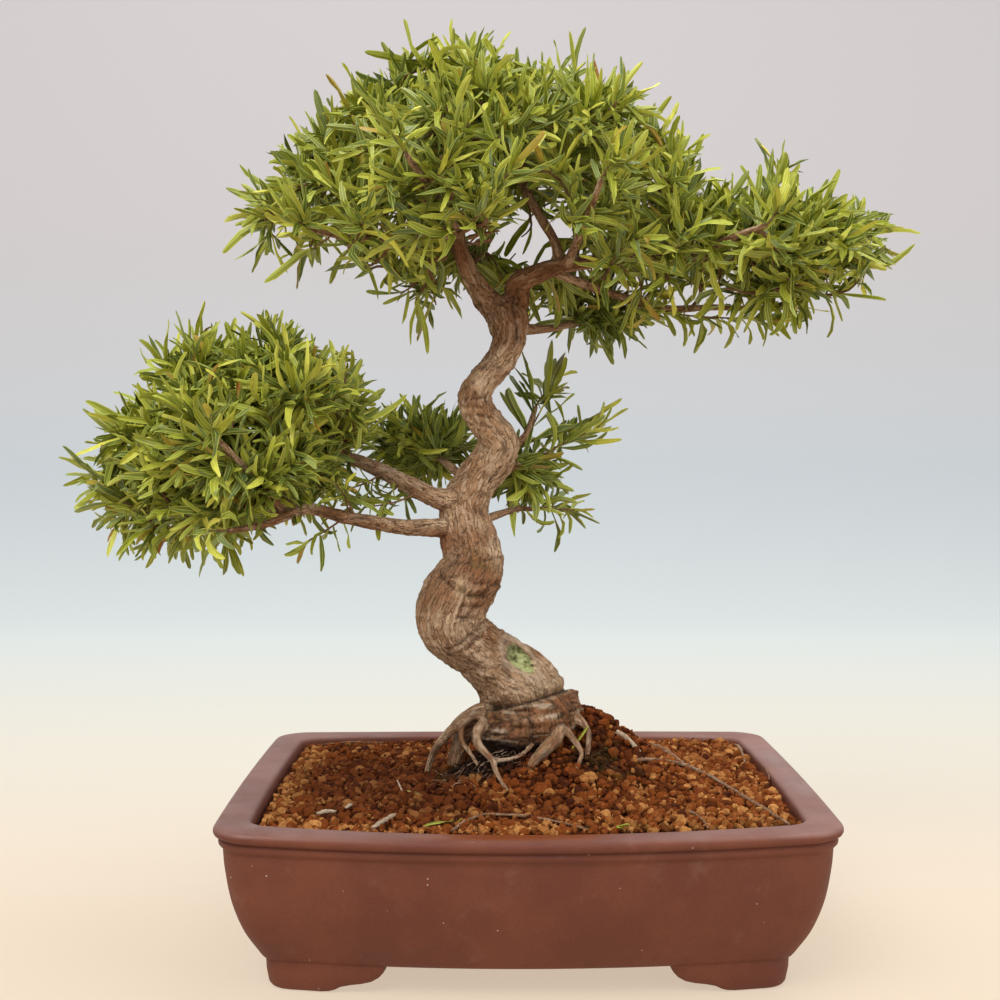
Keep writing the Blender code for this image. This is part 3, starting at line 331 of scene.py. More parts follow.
# Fine roots that show over the soil, as (x, y, z, radius).
FINE_ROOTS = (
    ((-53.1, 9.3, 90.0, 0.3), (-45.9, -10.2, 91.4, 0.3), (-40.1, -12.2, 93.0, 0.3), (-31.5, -5.6, 97.4, 0.3),
     (-25.7, -8.5, 99.0, 0.3)),
    ((-38.1, -23.8, 92.0, 0.3), (-32.3, -28.3, 92.4, 0.3), (-27.7, -37.4, 91.3, 0.3)),
    ((66.0, -4.0, 99.0, 1.0), (74.0, 4.0, 97.5, 1.2), (82.1, 13.1, 95.0, 1.3), (94.1, 17.9, 91.5, 1.2),
     (104.5, 7.2, 89.8, 1.1), (114.4, -21.9, 88.8, 1.0), (122.6, -54.5, 88.7, 0.9),
     (133.6, -102.1, 88.7, 0.7)),
    ((84.0, 88.0, 88.0, 1.6), (88.0, 62.0, 91.0, 1.7), (90.4, 44.4, 92.2, 1.6), (96.6, 22.3, 91.0, 1.2)),
    ((-39.2, -104.6, 86.6, 0.7), (-31.3, -88.6, 87.4, 0.8), (-21.9, -79.0, 87.6, 0.8),
     (-4.0, -80.7, 87.6, 0.8), (8.9, -88.3, 87.6, 0.7), (21.4, -97.9, 87.5, 0.7), (32.0, -109.0, 87.3, 0.6)),
    ((-130.1, 95.7, 86.2, 0.7), (-112.3, 101.1, 86.8, 0.6), (-89.4, 102.9, 86.0, 0.5)),
    ((138.5, 84.0, 88.6, 0.9), (139.6, 68.5, 89.4, 1.0), (136.0, 33.0, 88.6, 0.7)),
    ((86.4, -77.3, 88.6, 0.6), (89.6, -90.9, 89.2, 0.6), (91.4, -105.9, 88.0, 0.5)),
    ((145.2, 32.9, 88.8, 0.5), (144.9, 7.4, 88.8, 0.5), (143.0, -6.0, 88.4, 0.4)),
)
# Bleached bits of root and chips, in the same form.
PALE_BITS = (
    ((-79.7, -102.8, 87.2, 1.0), (-74.5, -90.3, 88.0, 1.2), (-69.7, -76.8, 87.2, 0.8)),
    ((-111.8, -75.1, 87.0, 0.9), (-107.4, -71.6, 87.6, 1.1), (-102.3, -69.6, 87.0, 0.8)),
    ((-97.6, -64.2, 87.4, 0.7), (-96.0, -60.0, 87.8, 0.8), (-95.1, -56.2, 87.2, 0.6)),
    ((-73.9, -7.2, 88.2, 0.5), (-71.3, -20.8, 88.2, 0.5), (-69.6, -29.3, 87.8, 0.5)),
    ((55.1, 12.0, 113.0, 1.2), (59.9, 11.9, 109.8, 1.7), (64.5, 10.7, 105.9, 1.4), (68.9, 7.5, 101.6, 1.0)),
)
# Leaves on the soil: root, tip, width, and how rusty they are.
FALLEN_LEAVES = (
    ((-53.7, -101.5, 87.6), (-36.0, -80.0, 88.6), 5.0, 0.1),
    ((27.0, -12.0, 107.0), (35.0, -4.0, 121.0), 2.4, 0.0),
    ((44.8, -104.6, 87.5), (50.0, -112.0, 92.5), 3.0, 0.0),
    ((48.0, -106.6, 87.5), (43.0, -113.0, 91.5), 2.6, 0.0),
    ((-66.7, -29.8, 88.0), (-58.4, -48.9, 88.0), 3.6, 0.9),
)

# Threads of root in the hollow under the collar.
THREADS = 45

# How finely the wood is meshed, and the rounds that even it out.
WOOD_VOXEL = 0.92
WOOD_SMOOTHING = 6
# Limbs are part of that mesh down to this radius, and thinner ones are tubes of their own.
THICK_LIMB = 2.9
# The bark lies this far under the solids' skin on thick wood, and roots are this much slimmer.
BARK_INSET = 0.7
ROOT_SHARE = 0.88
# Each route's distances along start this much later than the last route's, longer than any route.
ROUTE_SPACING = 600.0


# Small vector tools

def unit(vectors):
    vectors = np.asarray(vectors, float)
    return vectors / np.maximum(np.linalg.norm(vectors, axis=-1, keepdims=True), 1e-9)


def smooth_step(low, high, value):
    share = np.clip((value - low) / (high - low), 0, 1)
    return share * share * (3 - 2 * share)


def hashed(cells, salt):
    """A number from 0 to 1 for each whole-numbered (x, y, z)."""
    mixed = np.sin(cells @ np.array((127.1, 311.7, 74.7)) + 19.19 * salt) * 43758.5453
    return mixed - np.floor(mixed)


def noise(points, pitch=1.0, salt=0):
    """Smooth noise from -1 to 1 whose lumps are about a pitch across."""
    places = np.asarray(points, float) / pitch
    low = np.floor(places)
    part = places - low
    part = part * part * (3 - 2 * part)
    total = np.zeros(len(places))
    for corner in np.ndindex(2, 2, 2):
        corner = np.array(corner)
        weight = np.prod(np.where(corner, part, 1 - part), axis=1)
        total += weight * hashed(low + corner, salt)
    return 2 * total - 1


def patchy(low, high, points, pitch, salt):
    """Patches of noise with soft edges, from 0 to 1."""
    return smooth_step(low, high, noise(points, pitch, salt))


def bell(value, width, middle=0.0):
    return np.exp(-((value - middle) / width) ** 2)


def layered(points, pitch, layers=3, salt=0):
    total = np.zeros(len(points))
    for layer in range(layers):
        total += noise(points, pitch / 2 ** layer, salt + 7 * layer) / 2 ** layer
    return total


# Meshes from arrays

def mesh_from(name, points, groups):
    """A mesh in metres from points in mm and arrays of faces, each array holding faces of one size."""
    mesh = bpy.data.meshes.new(name)
    groups = [np.asarray(group, np.int32) for group in groups if len(group)]
    corners = np.concatenate([group.ravel() for group in groups])
    sizes = np.concatenate([np.full(len(group), group.shape[1]) for group in groups])
    mesh.vertices.add(len(points))
    mesh.vertices.foreach_set("co", ((points + POT_SHIFT) * MM).astype(np.float32).ravel())
    mesh.loops.add(len(corners))
    mesh.polygons.add(len(sizes))
    mesh.polygons.foreach_set("loop_start", (np.cumsum(sizes) - sizes).astype(np.int32))
    mesh.loops.foreach_set("vertex_index", corners)
    mesh.update(calc_edges=True)
    mesh.validate()
    return mesh


def placed(name, data):
    """A new object in the scene."""
    new = bpy.data.objects.new(name, data)
    bpy.context.scene.collection.objects.link(new)
    return new


def as_changed(target, *helpers):
    """The mesh that an object's modifiers make. The object and its helpers are removed."""
    mesh = bpy.data.meshes.new_from_object(target.evaluated_get(bpy.context.evaluated_depsgraph_get()))
    for used in (target, *helpers):
        bpy.data.objects.remove(used)
    return mesh


def piece(name, mesh, finish, replaced=(), sharp_above=None):
    """Put a mesh in the scene as a piece that rides on the root body."""
    mesh.shade_smooth()
    if sharp_above:
        mesh.set_sharp_from_angle(angle=math.radians(sharp_above))
    mesh.materials.clear()
    mesh.materials.append(finish)
    new = placed(name, mesh)
    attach(new, "root")
    if replaced:
        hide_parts(*replaced)
    return new


def give(mesh, name, values):
    """Store one number or one vector for each point."""
    values = np.asarray(values, np.float32)
    kind, key = ("FLOAT", "value") if values.ndim == 1 else ("FLOAT_VECTOR", "vector")
    attribute = mesh.attributes.new(name, kind, "POINT")
    attribute.data.foreach_set(key, values.ravel())


def grid_faces(rows, columns, closed):
    """Quads between rows of points, listed one row after the other."""
    across = np.arange(columns if closed else columns - 1)
    after = (across + 1) % columns
    start = (np.arange(rows - 1) * columns)[:, None]
    above = start + columns
    return np.stack([start + across, start + after, above + after, above + across], -1).reshape(-1, 4)


def end_faces(rows, columns):
    """The first and the last ring of a closed stack, each as one face."""
    return np.array([np.arange(columns)[::-1], (rows - 1) * columns + np.arange(columns)])


def joined(parts):
    """One (points, groups of faces) from several, each with the same number of groups."""
    points, groups, count = [], [], 0
    for part_points, part_groups in parts:
        points.append(part_points)
        groups.append([group + count for group in part_groups])
        count += len(part_points)
    return np.concatenate(points), [np.concatenate(sorted_groups) for sorted_groups in zip(*groups)]


def resampled(stations, spacing):
    """A smooth curve through stations of any width, with even steps along its first three columns."""
    stations = np.asarray(stations, float)
    padded = np.vstack([2 * stations[0] - stations[1], stations, 2 * stations[-1] - stations[-2]])
    dense = []
    for index in range(len(stations) - 1):
        a, b, c, d = padded[index:index + 4]
        for share in np.arange(0, 1, 0.05):
            dense.append(0.5 * (2 * b + (c - a) * share + (2 * a - 5 * b + 4 * c - d) * share ** 2
                                + (3 * b - a - 3 * c + d) * share ** 3))
    dense = np.array([*dense, stations[-1]])
    along = np.concatenate([[0], np.cumsum(np.linalg.norm(np.diff(dense[:, :3], axis=0), axis=1))])
    steps = np.linspace(0, along[-1], max(3, round(along[-1] / spacing) + 1))
    return np.column_stack([np.interp(steps, along, column) for column in dense.T]), steps


def frames_along(path):
    """Tangents, sides and ups of a path, turned as little as possible along it."""
    tangents = unit(np.gradient(path, axis=0))
    side = np.cross(tangents[0], (0.3, 0.9, 0.2))
    sides = []
    for tangent in tangents:
        side = side - tangent * np.dot(side, tangent)
        side /= np.linalg.norm(side)
        sides.append(side)
    sides = np.array(sides)
    return tangents, sides, np.cross(tangents, sides)


def tube(path, radii, count):
    """A closed tube. The radii are one per point of the path, or one per point of each ring."""
    tangents, sides, ups = frames_along(path)
    angles = math.tau * np.arange(count) / count
    radii = np.asarray(radii, float)
    radii = radii if radii.ndim == 2 else np.repeat(radii[:, None], count, 1)
    rings = (sides[:, None] * np.cos(angles)[None, :, None] + ups[:, None] * np.sin(angles)[None, :, None])
    points = (path[:, None] + rings * radii[:, :, None]).reshape(-1, 3)
    last = len(points)
    points = np.vstack([points, path[0], path[-1]])
    around = np.arange(count)
    after = (around + 1) % count
    end = (len(path) - 1) * count
    caps = np.concatenate([np.stack([after, around, np.full(count, last)], 1),
                           np.stack([end + around, end + after, np.full(count, last + 1)], 1)])
    return points, [grid_faces(len(path), count, True), caps]


# Materials

class Nodes:
    """A short way to write a material's node tree."""

    def __init__(self, name):
        self.material = bpy.data.materials.new(name)
        self.material.use_nodes = True
        self.tree = self.material.node_tree
        self.shader = self.tree.nodes["Principled BSDF"]

    def link(self, source, socket):
        if isinstance(source, (int, float)):
            socket.default_value = source
        elif isinstance(source, tuple):
            socket.default_value = (*source, 1.0) if len(socket.default_value) == 4 else source
        else:
            self.tree.links.new(source, socket)

    def node(self, kind, output=0, settings=(), **inputs):
        new = self.tree.nodes.new(kind)
        for key, value in settings:
            setattr(new, key, value)
        for key, source in inputs.items():
            key = int(key[1:]) if key[0] == "i" and key[1:].isdigit() else key.replace("_", " ")
            self.link(source, new.inputs[key])
        return new.outputs[output]

    def math(self, operation, first, second=0.0):
        return self.node("ShaderNodeMath", settings=(("operation", operation),), i0=first, i1=second)

    def mix(self, factor, first, second):
        settings = (("data_type", "RGBA"), ("clamp_factor", True))
        return self.node("ShaderNodeMix", 2, settings, Factor=factor, i6=first, i7=second)

    def times(self, first, second):
        return self.math("MULTIPLY", first, second)

    def distance(self, first, second):
        return self.math("ABSOLUTE", self.math("SUBTRACT", first, second))

    def ramp(self, value, low, high, start=0.0, end=1.0):
        return self.node("ShaderNodeMapRange", settings=(("interpolation_type", "SMOOTHSTEP"),),
                         Value=value, From_Min=low, From_Max=high, To_Min=start, To_Max=end)

    def stops(self, value, stops):
        """Colors at positions from 0 to 1, with even changes between them."""
        new = self.tree.nodes.new("ShaderNodeValToRGB")
        self.link(value, new.inputs["Fac"])
        elements = new.color_ramp.elements
        for element, (position, color) in ((elements[0], stops[0]), (elements[-1], stops[-1])):
            element.position = position
            element.color = (*color, 1.0)
        for position, color in stops[1:-1]:
            elements.new(position).color = (*color, 1.0)
        return new.outputs[0]

    def attribute(self, name, output="Fac"):
        new = self.tree.nodes.new("ShaderNodeAttribute")
        new.attribute_name = name
        return new.outputs[output]

    def place(self):
        return self.node("ShaderNodeTexCoord", output=3)

    def noise(self, vector, scale, detail=3.0, roughness=0.55, output=0):
        return self.node("ShaderNodeTexNoise", output=output, Vector=vector, Scale=scale, Detail=detail,
                         Roughness=roughness)

    def cells(self, vector, scale, output=0):
        return self.node("ShaderNodeTexVoronoi", output=output, Vector=vector, Scale=scale)

    def bump(self, height, strength, distance):
        return self.node("ShaderNodeBump", Height=height, Strength=strength, Distance=distance)

    def finish(self, color, roughness, normal=None, specular=0.5):
        self.link(color, self.shader.inputs["Base Color"])
        self.link(roughness, self.shader.inputs["Roughness"])
        self.shader.inputs["Specular IOR Level"].default_value = specular
        if normal:
            self.link(normal, self.shader.inputs["Normal"])
        return self.material


def stoneware_finish():
    """Unglazed red-brown clay: mottled, with pale specks, faint scratches, and a pale bloom that is also a
    painted highlight on the lip.
    """
    n = Nodes("stoneware")
    place = n.place()
    mottle = n.noise(place, 28.0, 5.0)
    color = n.mix(n.ramp(mottle, 0.35, 0.7), (0.134, 0.033, 0.0155), (0.180, 0.050, 0.0235))
    fine = n.noise(place, 900.0, 3.0, 0.7)
    color = n.mix(n.ramp(fine, 0.3, 0.75), n.mix(0.25, color, (0.05, 0.016, 0.010)), color)
    bloom = n.times(n.ramp(n.noise(place, 60.0, 6.0, 0.65), 0.55, 0.85), 0.22)
    color = n.mix(bloom, color, (0.32, 0.19, 0.15))
    specks = n.ramp(n.cells(place, 260.0), 0.13, 0.07)
    chosen = n.ramp(n.cells(place, 260.0, output=1), 0.82, 0.88)
    color = n.mix(n.times(specks, chosen), color, (0.50, 0.38, 0.32))
    # Paler in patches on the rim's top: pale bloom and a painted highlight.
    height = n.node("ShaderNodeSeparateXYZ", output=2, Vector=place)
    top = n.ramp(height, 0.0865, 0.0893)
    color = n.mix(n.times(top, n.ramp(n.noise(place, 30.0, 4.0), 0.3, 0.7, 0.35, 0.75)), color,
                  (0.30, 0.165, 0.140))
    color = n.mix(n.attribute("wet"), color, (0.195, 0.043, 0.007))
    rough = n.ramp(mottle, 0.3, 0.7, 0.58, 0.74)
    rough = n.math("SUBTRACT", rough, n.times(top, 0.2))
    rough = n.math("SUBTRACT", rough, n.times(n.attribute("gloss"), 0.22))
    normal = n.bump(fine, 0.25, 0.0004)
    return n.finish(color, rough, normal, 0.35)


def plastic_finish():
    n = Nodes("mesh_plastic")
    grain = n.noise(n.place(), 700.0, 2.0)
    color = n.mix(grain, (0.012, 0.012, 0.013), (0.03, 0.03, 0.032))
    return n.finish(color, 0.5, n.bump(grain, 0.2, 0.0002))


def bark_finish():
    """Pinkish tan bark with fine meandering furrows, orange-brown in patches and greenish low down."""
    n = Nodes("bark")
    grain = n.attribute("grain", "Vector")
    drift = n.noise(n.place(), 130.0, 3.0, output=1)
    grain = n.node("ShaderNodeVectorMath", settings=(("operation", "MULTIPLY_ADD"),), i0=drift,
                   i1=(4.5, 4.5, 9.0), i2=grain)
    long_place = n.node("ShaderNodeMapping", Vector=grain, Scale=(1.0, 1.0, 0.2))
    wide = n.noise(long_place, 0.42, 3.0, 0.5)
    furrow = n.ramp(n.distance(wide, 0.5), 0.0, 0.030, 1.0, 0.0)
    thin = n.noise(n.node("ShaderNodeMapping", Vector=grain, Scale=(1.0, 1.0, 0.3)), 1.0, 3.0, 0.6)
    hair = n.ramp(n.distance(thin, 0.5), 0.0, 0.05, 1.0, 0.0)
    flecks = n.noise(grain, 2.2, 3.0, 0.7)
    patches = n.noise(n.place(), 38.0, 4.0)
    color = n.mix(n.ramp(patches, 0.36, 0.62), (0.43, 0.225, 0.105), (0.66, 0.44, 0.265))
    # Paler on the raised ridges: paler outer bark and a painted highlight.
    color = n.mix(n.ramp(wide, 0.5, 0.66, 0.0, 0.6), color, (0.80, 0.60, 0.42))
    color = n.mix(n.ramp(flecks, 0.5, 0.34, 0.0, 0.55), color, (0.19, 0.090, 0.040))
    color = n.mix(n.times(hair, 0.5), color, (0.23, 0.115, 0.055))
    color = n.mix(n.times(furrow, 0.8), color, (0.14, 0.062, 0.028))
    rusty = n.mix(furrow, (0.25, 0.095, 0.035), (0.06, 0.024, 0.012))
    # Rusty brown patches, and painted shade under the thick limbs.
    color = n.mix(n.times(n.attribute("rust_and_shade"), 0.88), color, rusty)
    moss = n.times(n.attribute("moss"), n.ramp(n.noise(n.place(), 190.0, 3.0), 0.42, 0.6))
    color = n.mix(moss, color, (0.105, 0.105, 0.025))
    color = n.mix(n.attribute("pale"), color, (0.70, 0.54, 0.38))
    inside = n.noise(n.place(), 150.0, 4.0, 0.6)
    inside = n.mix(n.ramp(inside, 0.38, 0.55), (0.12, 0.13, 0.035), (0.60, 0.62, 0.28))
    color = n.mix(n.attribute("wound"), color, inside)
    # Near-black in the bark's crevices, creases, knots, the girdle and the hollow under the collar: painted
    # shade.
    color = n.mix(n.times(n.attribute("crevice_shade"), 0.92), color, (0.030, 0.014, 0.008))
    relief = n.math("SUBTRACT", n.times(wide, 0.8), n.times(furrow, 0.55))
    relief = n.math("SUBTRACT", relief, n.times(hair, 0.22))
    relief = n.math("ADD", relief, n.times(flecks, 0.5))
    return n.finish(color, n.ramp(wide, 0.3, 0.7, 0.9, 0.75), n.bump(relief, 1.0, 0.0011), 0.25)


def soil_finish():
    """Fired clay granules and fines between them, each granule with a tone of its own."""
    n = Nodes("soil_grains")
    tone = n.attribute("tone")
    grain = n.noise(n.place(), 700.0, 4.0, 0.7)
    color = n.mix(n.ramp(tone, 0.0, 0.5), (0.045, 0.009, 0.002), (0.225, 0.055, 0.009))
    color = n.mix(n.ramp(tone, 0.5, 1.0), color, (0.56, 0.25, 0.072))
    color = n.mix(n.ramp(grain, 0.62, 0.3, 0.0, 0.6), color, (0.06, 0.016, 0.006))
    color = n.mix(n.attribute("damp"), color, n.mix(0.62, color, (0.050, 0.011, 0.003)))
    color = n.mix(n.times(n.attribute("moss"), n.ramp(grain, 0.4, 0.6)), color, (0.035, 0.045, 0.008))
    # Near-black in the hollow under the collar: dark rooty soil and painted shadow.
    humus_and_shadow = n.mix(n.ramp(grain, 0.45, 0.7), (0.012, 0.006, 0.004), (0.060, 0.030, 0.016))
    color = n.mix(n.attribute("humus_and_shadow"), color, humus_and_shadow)
    return n.finish(color, 0.95, n.bump(grain, 0.7, 0.0006), 0.1)


def foliage_finish():
    """Leaf blades with pale midrib and margins, rusty young tips, and brown twigs."""
    n = Nodes("foliage")
    leaf = n.node("ShaderNodeSeparateXYZ", Vector=n.attribute("leaf", "Vector")).node
    across, along, back = leaf.outputs[0], leaf.outputs[1], leaf.outputs[2]
    tone = n.attribute("tone")
    color = n.mix(n.ramp(tone, 0.0, 0.5), (0.075, 0.120, 0.015), (0.37, 0.41, 0.030))
    color = n.mix(n.ramp(tone, 0.5, 1.0), color, (0.70, 0.67, 0.080))
    away = n.math("ABSOLUTE", across)
    shade = n.noise(n.place(), 120.0, 2.0)
    color = n.mix(n.ramp(shade, 0.35, 0.65, 0.0, 0.3), color, (0.15, 0.19, 0.020))
    lines = n.ramp(n.distance(away, 0.5), 0.0, 0.16, 1.0, 0.0)
    blue = n.attribute("blue")
    color = n.mix(n.times(blue, 0.8), color, (0.10, 0.175, 0.085))
    color = n.mix(n.times(n.times(blue, lines), 0.7), color, (0.34, 0.40, 0.22))
    color = n.mix(n.times(n.ramp(away, 0.72, 0.95), 0.6), color, (0.80, 0.76, 0.13))
    color = n.mix(n.times(n.ramp(away, 0.18, 0.04), 0.5), color, (0.74, 0.69, 0.14))
    color = n.mix(n.times(back, 0.35), color, (0.25, 0.29, 0.09))
    color = n.mix(n.times(n.attribute("age"), n.ramp(along, 0.0, 0.9, 0.35, 1.0)), color,
                  (0.36, 0.14, 0.025))
    wood = n.attribute("wood")
    twig = n.mix(n.noise(n.place(), 500.0), (0.095, 0.042, 0.018), (0.25, 0.135, 0.065))
    color = n.mix(wood, color, twig)
    rough = n.math("ADD", 0.46, n.times(wood, 0.4))
    return n.finish(color, rough, None, 0.32)


# Pot

def plan_point(x, y, half_x, half_y):
    """A place of a straight-sided plan once its sides are bowed."""
    out_x = SHORT_SIDE_BOW * (1 - np.minimum(1, (y / half_y) ** 2)) * x / half_x
    out_y = LONG_SIDE_BOW * (1 - np.minimum(1, (x / half_x) ** 2)) * y / half_y
    return np.stack([x + out_x, y + out_y], -1)


def outline(inset, corner_steps=10, long_steps=44, short_steps=30):
    """The pot's plan at a distance in from the rim's edge, anticlockwise seen from above."""
    half_x = RIM_LENGTH / 2 - inset
    half_y = RIM_DEPTH / 2 - inset
    radius = max(CORNER_RADIUS - 0.45 * inset, 6.0)
    middle_x, middle_y = half_x - radius, half_y - radius
    plan = []
    for quarter, (sign_x, sign_y) in enumerate(((1, -1), (1, 1), (-1, 1), (-1, -1))):
        angles = np.radians(90 * quarter - 90 + 90 * np.arange(corner_steps + 1) / corner_steps)
        plan += [(sign_x * middle_x + radius * math.cos(a), sign_y * middle_y + radius * math.sin(a))
                 for a in angles]
        steps = short_steps if quarter % 2 == 0 else long_steps
        for step in range(1, steps):
            share = 1 - 2 * step / steps
            if quarter % 2 == 0:
                plan.append((sign_x * half_x, -sign_x * share * middle_y))
            else:
                plan.append((sign_y * share * middle_x, sign_y * half_y))
    plan = np.array(plan)
    return plan_point(plan[:, 0], plan[:, 1], half_x, half_y)


def sagged(x, height):
    """The height of places of the pot once the long sides have sagged."""
    middle = 1 - np.minimum(1, (2 * x / RIM_LENGTH) ** 2)
    return height - RIM_SAG * middle * max(0, height - SAG_FROM) / (POT_HEIGHT - SAG_FROM)


def smooth_profile(points, spacing=2.5):
    return resampled([(inset, 0.0, height) for inset, height in points], spacing)[0][:, [0, 2]]


def foot_shape(sign_x, sign_y):
    """A bracket foot round one corner of the pot, with a curved end on each arm."""
    half_x, half_y = RIM_LENGTH / 2, RIM_DEPTH / 2
    arm_x = half_x - FOOT_INSET - FOOT_LONG_ARM
    arm_y = half_y - FOOT_INSET - FOOT_SHORT_ARM
    rises = [rise for run, rise in FOOT_RISES[:-1]]
    corner = 8

    def route(inset):
        line_x, line_y = half_x - inset, half_y - inset
        radius = 10.0
        plan = [(arm_x + run, line_y) for run, rise in FOOT_RISES[:-1]]
        for step in range(corner + 1):
            angle = math.radians(90 - 90 * step / corner)
            plan.append((line_x - radius + radius * math.cos(angle),
                         line_y - radius + radius * math.sin(angle)))
        plan += [(line_x, arm_y + run * 0.76) for run, rise in reversed(FOOT_RISES[:-1])]
        plan = np.array(plan) * (sign_x, sign_y)
        return plan_point(plan[:, 0], plan[:, 1], line_x, line_y)

    heights = np.array(rises + [0.0] * (corner + 1) + rises[::-1])
    top = np.full(len(heights), UNDERSIDE + 3.0)
    middle = (top + heights) / 2
    ring = [
        (FOOT_INSET + FOOT_THICKNESS, top), (FOOT_INSET - 0.6, top), (FOOT_INSET - 0.2, middle),
        (FOOT_INSET + 0.9, heights + 2.2), (FOOT_INSET + 1.7, heights + 0.8), (FOOT_INSET + 3.2, heights),
        (FOOT_INSET + FOOT_THICKNESS - 1.2, heights), (FOOT_INSET + FOOT_THICKNESS, heights + 1.2),
    ]
    rows = np.stack([np.column_stack([route(inset), level]) for inset, level in ring], 1)
    if sign_x * sign_y > 0:
        rows = rows[:, ::-1]
    count, size = rows.shape[:2]
    return rows.reshape(-1, 3), [grid_faces(count, size, True), end_faces(count, size)]


def fused(name, shapes, cutters=()):
    """The union of closed shapes, less the cutters, as one mesh."""
    target = placed(name, mesh_from(name, *shapes[0]))
    helpers = []
    for shape, operation in [(s, "UNION") for s in shapes[1:]] + [(s, "DIFFERENCE") for s in cutters]:
        helper = placed(name + "_helper", mesh_from(name + "_helper", *shape))
        boolean = target.modifiers.new("fuse", "BOOLEAN")
        boolean.object = helper
        boolean.operation = operation
        boolean.solver = "MANIFOLD"
        helpers.append(helper)
    return as_changed(target, *helpers)


def drum(x, low, high, radius, sides=48):
    path = np.array([(x, 0.0, low), (x, 0.0, (low + high) / 2), (x, 0.0, high)])
    return tube(path, np.full(3, radius), sides)


def build_pot(finish):
    profile = np.vstack([
        [(27.0, UNDERSIDE)], [(24.6, 15.9)], [(22.8, 17.2)], smooth_profile(WALL_PROFILE), RIM_PROFILE,
        smooth_profile(INNER_PROFILE),
    ])
    rings = []
    for inset, height in profile:
        plan = outline(inset)
        rings.append(np.column_stack([plan, sagged(plan[:, 0], height)]))
    count, size = len(rings), len(rings[0])
    shell = (np.concatenate(rings), [grid_faces(count, size, True), end_faces(count, size)])
    feet = [foot_shape(*corner) for corner in ((1, 1), (-1, 1), (-1, -1), (1, -1))]
    holes = [drum(x, UNDERSIDE - 5, FLOOR_TOP + 5, HOLE_RADIUS) for x in (-HOLE_X, HOLE_X)]
    mesh = fused("stoneware_pot", [shell, *feet], holes)
    points = read_points(mesh)
    x, y, z = points.T
    edge = 1.5 * noise(points, 9.0, 70)
    wet = smooth_step(56, 38, np.abs(x + 10)) * smooth_step(-129.5, -126.5, y + edge)
    wet = wet * smooth_step(-100, -108, y) * smooth_step(80, 84, z)
    damp_end = smooth_step(8, 0, np.abs(x - 154) - 1) * smooth_step(60, 45, np.abs(y - 4))
    damp_end = damp_end * smooth_step(84, 87, z)
    give(mesh, "wet", wet)
    give(mesh, "gloss", np.maximum(wet, damp_end))
    return piece("stoneware_pot", mesh, finish, ["pot"], 38)


# Soil

def soil_height(x, y):
    height = SOIL_LEVEL + SOIL_RIGHT_RISE * (0.5 + x / RIM_LENGTH)
    for middle_x, middle_y, rise, spread in MOUNDS:
        away = (x - middle_x) ** 2 + (y - middle_y) ** 2
        height = height + rise * np.exp(-away / (2 * spread * spread))
    return height


def inside_pot(x, y, inset):
    """How far a place lies inside the pot's plan, in mm, below zero outside."""
    half_x, half_y = RIM_LENGTH / 2 - inset, RIM_DEPTH / 2 - inset
    room_x = half_x + SHORT_SIDE_BOW * (1 - np.minimum(1, (y / half_y) ** 2)) - np.abs(x)
    room_y = half_y + LONG_SIDE_BOW * (1 - np.minimum(1, (x / half_x) ** 2)) - np.abs(y)
    return np.minimum(room_x, room_y)


def build_soil(finish):
    """The body of the soil with a top of fines, for granules to lie all over."""
    rings = []
    for inset, height in ((38.6, 23.8), (30.0, 31.0), (22.0, 46.0), (20.0, 60.0), (SOIL_INSET, 78.0)):
        plan = outline(inset, 8, 60, 44)
        rings.append(np.column_stack([plan, np.full(len(plan), height)]))
    edge = outline(SOIL_INSET, 8, 60, 44)
    levels = 46
    for ring in range(levels):
        plan = edge * (1 - ring / levels)
        flat = np.column_stack([plan, np.zeros(len(plan))])
        lift = 1.3 * noise(flat, 6.0, 3) + 0.8 * noise(flat, 2.6, 9) - 1.8
        rings.append(np.column_stack([plan, soil_height(plan[:, 0], plan[:, 1]) + lift]))
    count, size = len(rings), len(edge)
    middle = np.array([[0.0, 0.0, soil_height(0.0, 0.0) - 1.8]])
    points = np.vstack([*rings, middle])
    last = (count - 1) * size + np.arange(size)
    cap = np.stack([last, np.roll(last, -1), np.full(size, count * size)], 1)
    quads = grid_faces(count, size, True)
    floor = np.arange(size)[::-1].reshape(1, -1)
    mesh = mesh_from("soil_body", points, [quads, cap, floor])
    give(mesh, "tone", 0.12 + 0.12 * noise(points, 3.0, 5))
    give_soil(mesh, points, 1)
    return piece("soil_body", mesh, finish, ["soil"])


def spot(points, middle, half, sharpness=1):
    """1 in the middle of an oval on the soil, falling to 0 round it."""
    across, deep = (points[:, :2] - middle).T
    return np.exp(-((across / half[0]) ** 2 + (deep / half[1]) ** 2) ** sharpness)


def give_soil(mesh, places, size):
    """Store how damp, mossy and dark the soil is at each place, for size points each."""
    give(mesh, "damp", np.repeat(damp_at(places), size))
    give(mesh, "moss", np.repeat(moss_at(places), size))
    give(mesh, "humus_and_shadow", np.repeat(humus_and_shadow_at(places), size))


def damp_at(points):
    """Moist soil in the middle left, drier towards the right and the left edge."""
    moist = spot(points, (-88, -6), (55, 80), 2) + 0.6 * spot(points, (-15, -62), (50, 26), 2)
    return np.clip(moist + 0.25 * noise(points, 22.0, 8), 0, 1)


def moss_at(points):
    right = spot(points, (48, -12), (16, 12))
    left = spot(points, (-40, -2), (14, 12))
    front = bell(points[:, 1], 6, -100) * smooth_step(0, 60, points[:, 0])
    lumpy = patchy(-0.2, 0.4, points, 6.0, 12)
    return np.clip((1.3 * right + 1.2 * left + 0.8 * front) * lumpy, 0, 1)


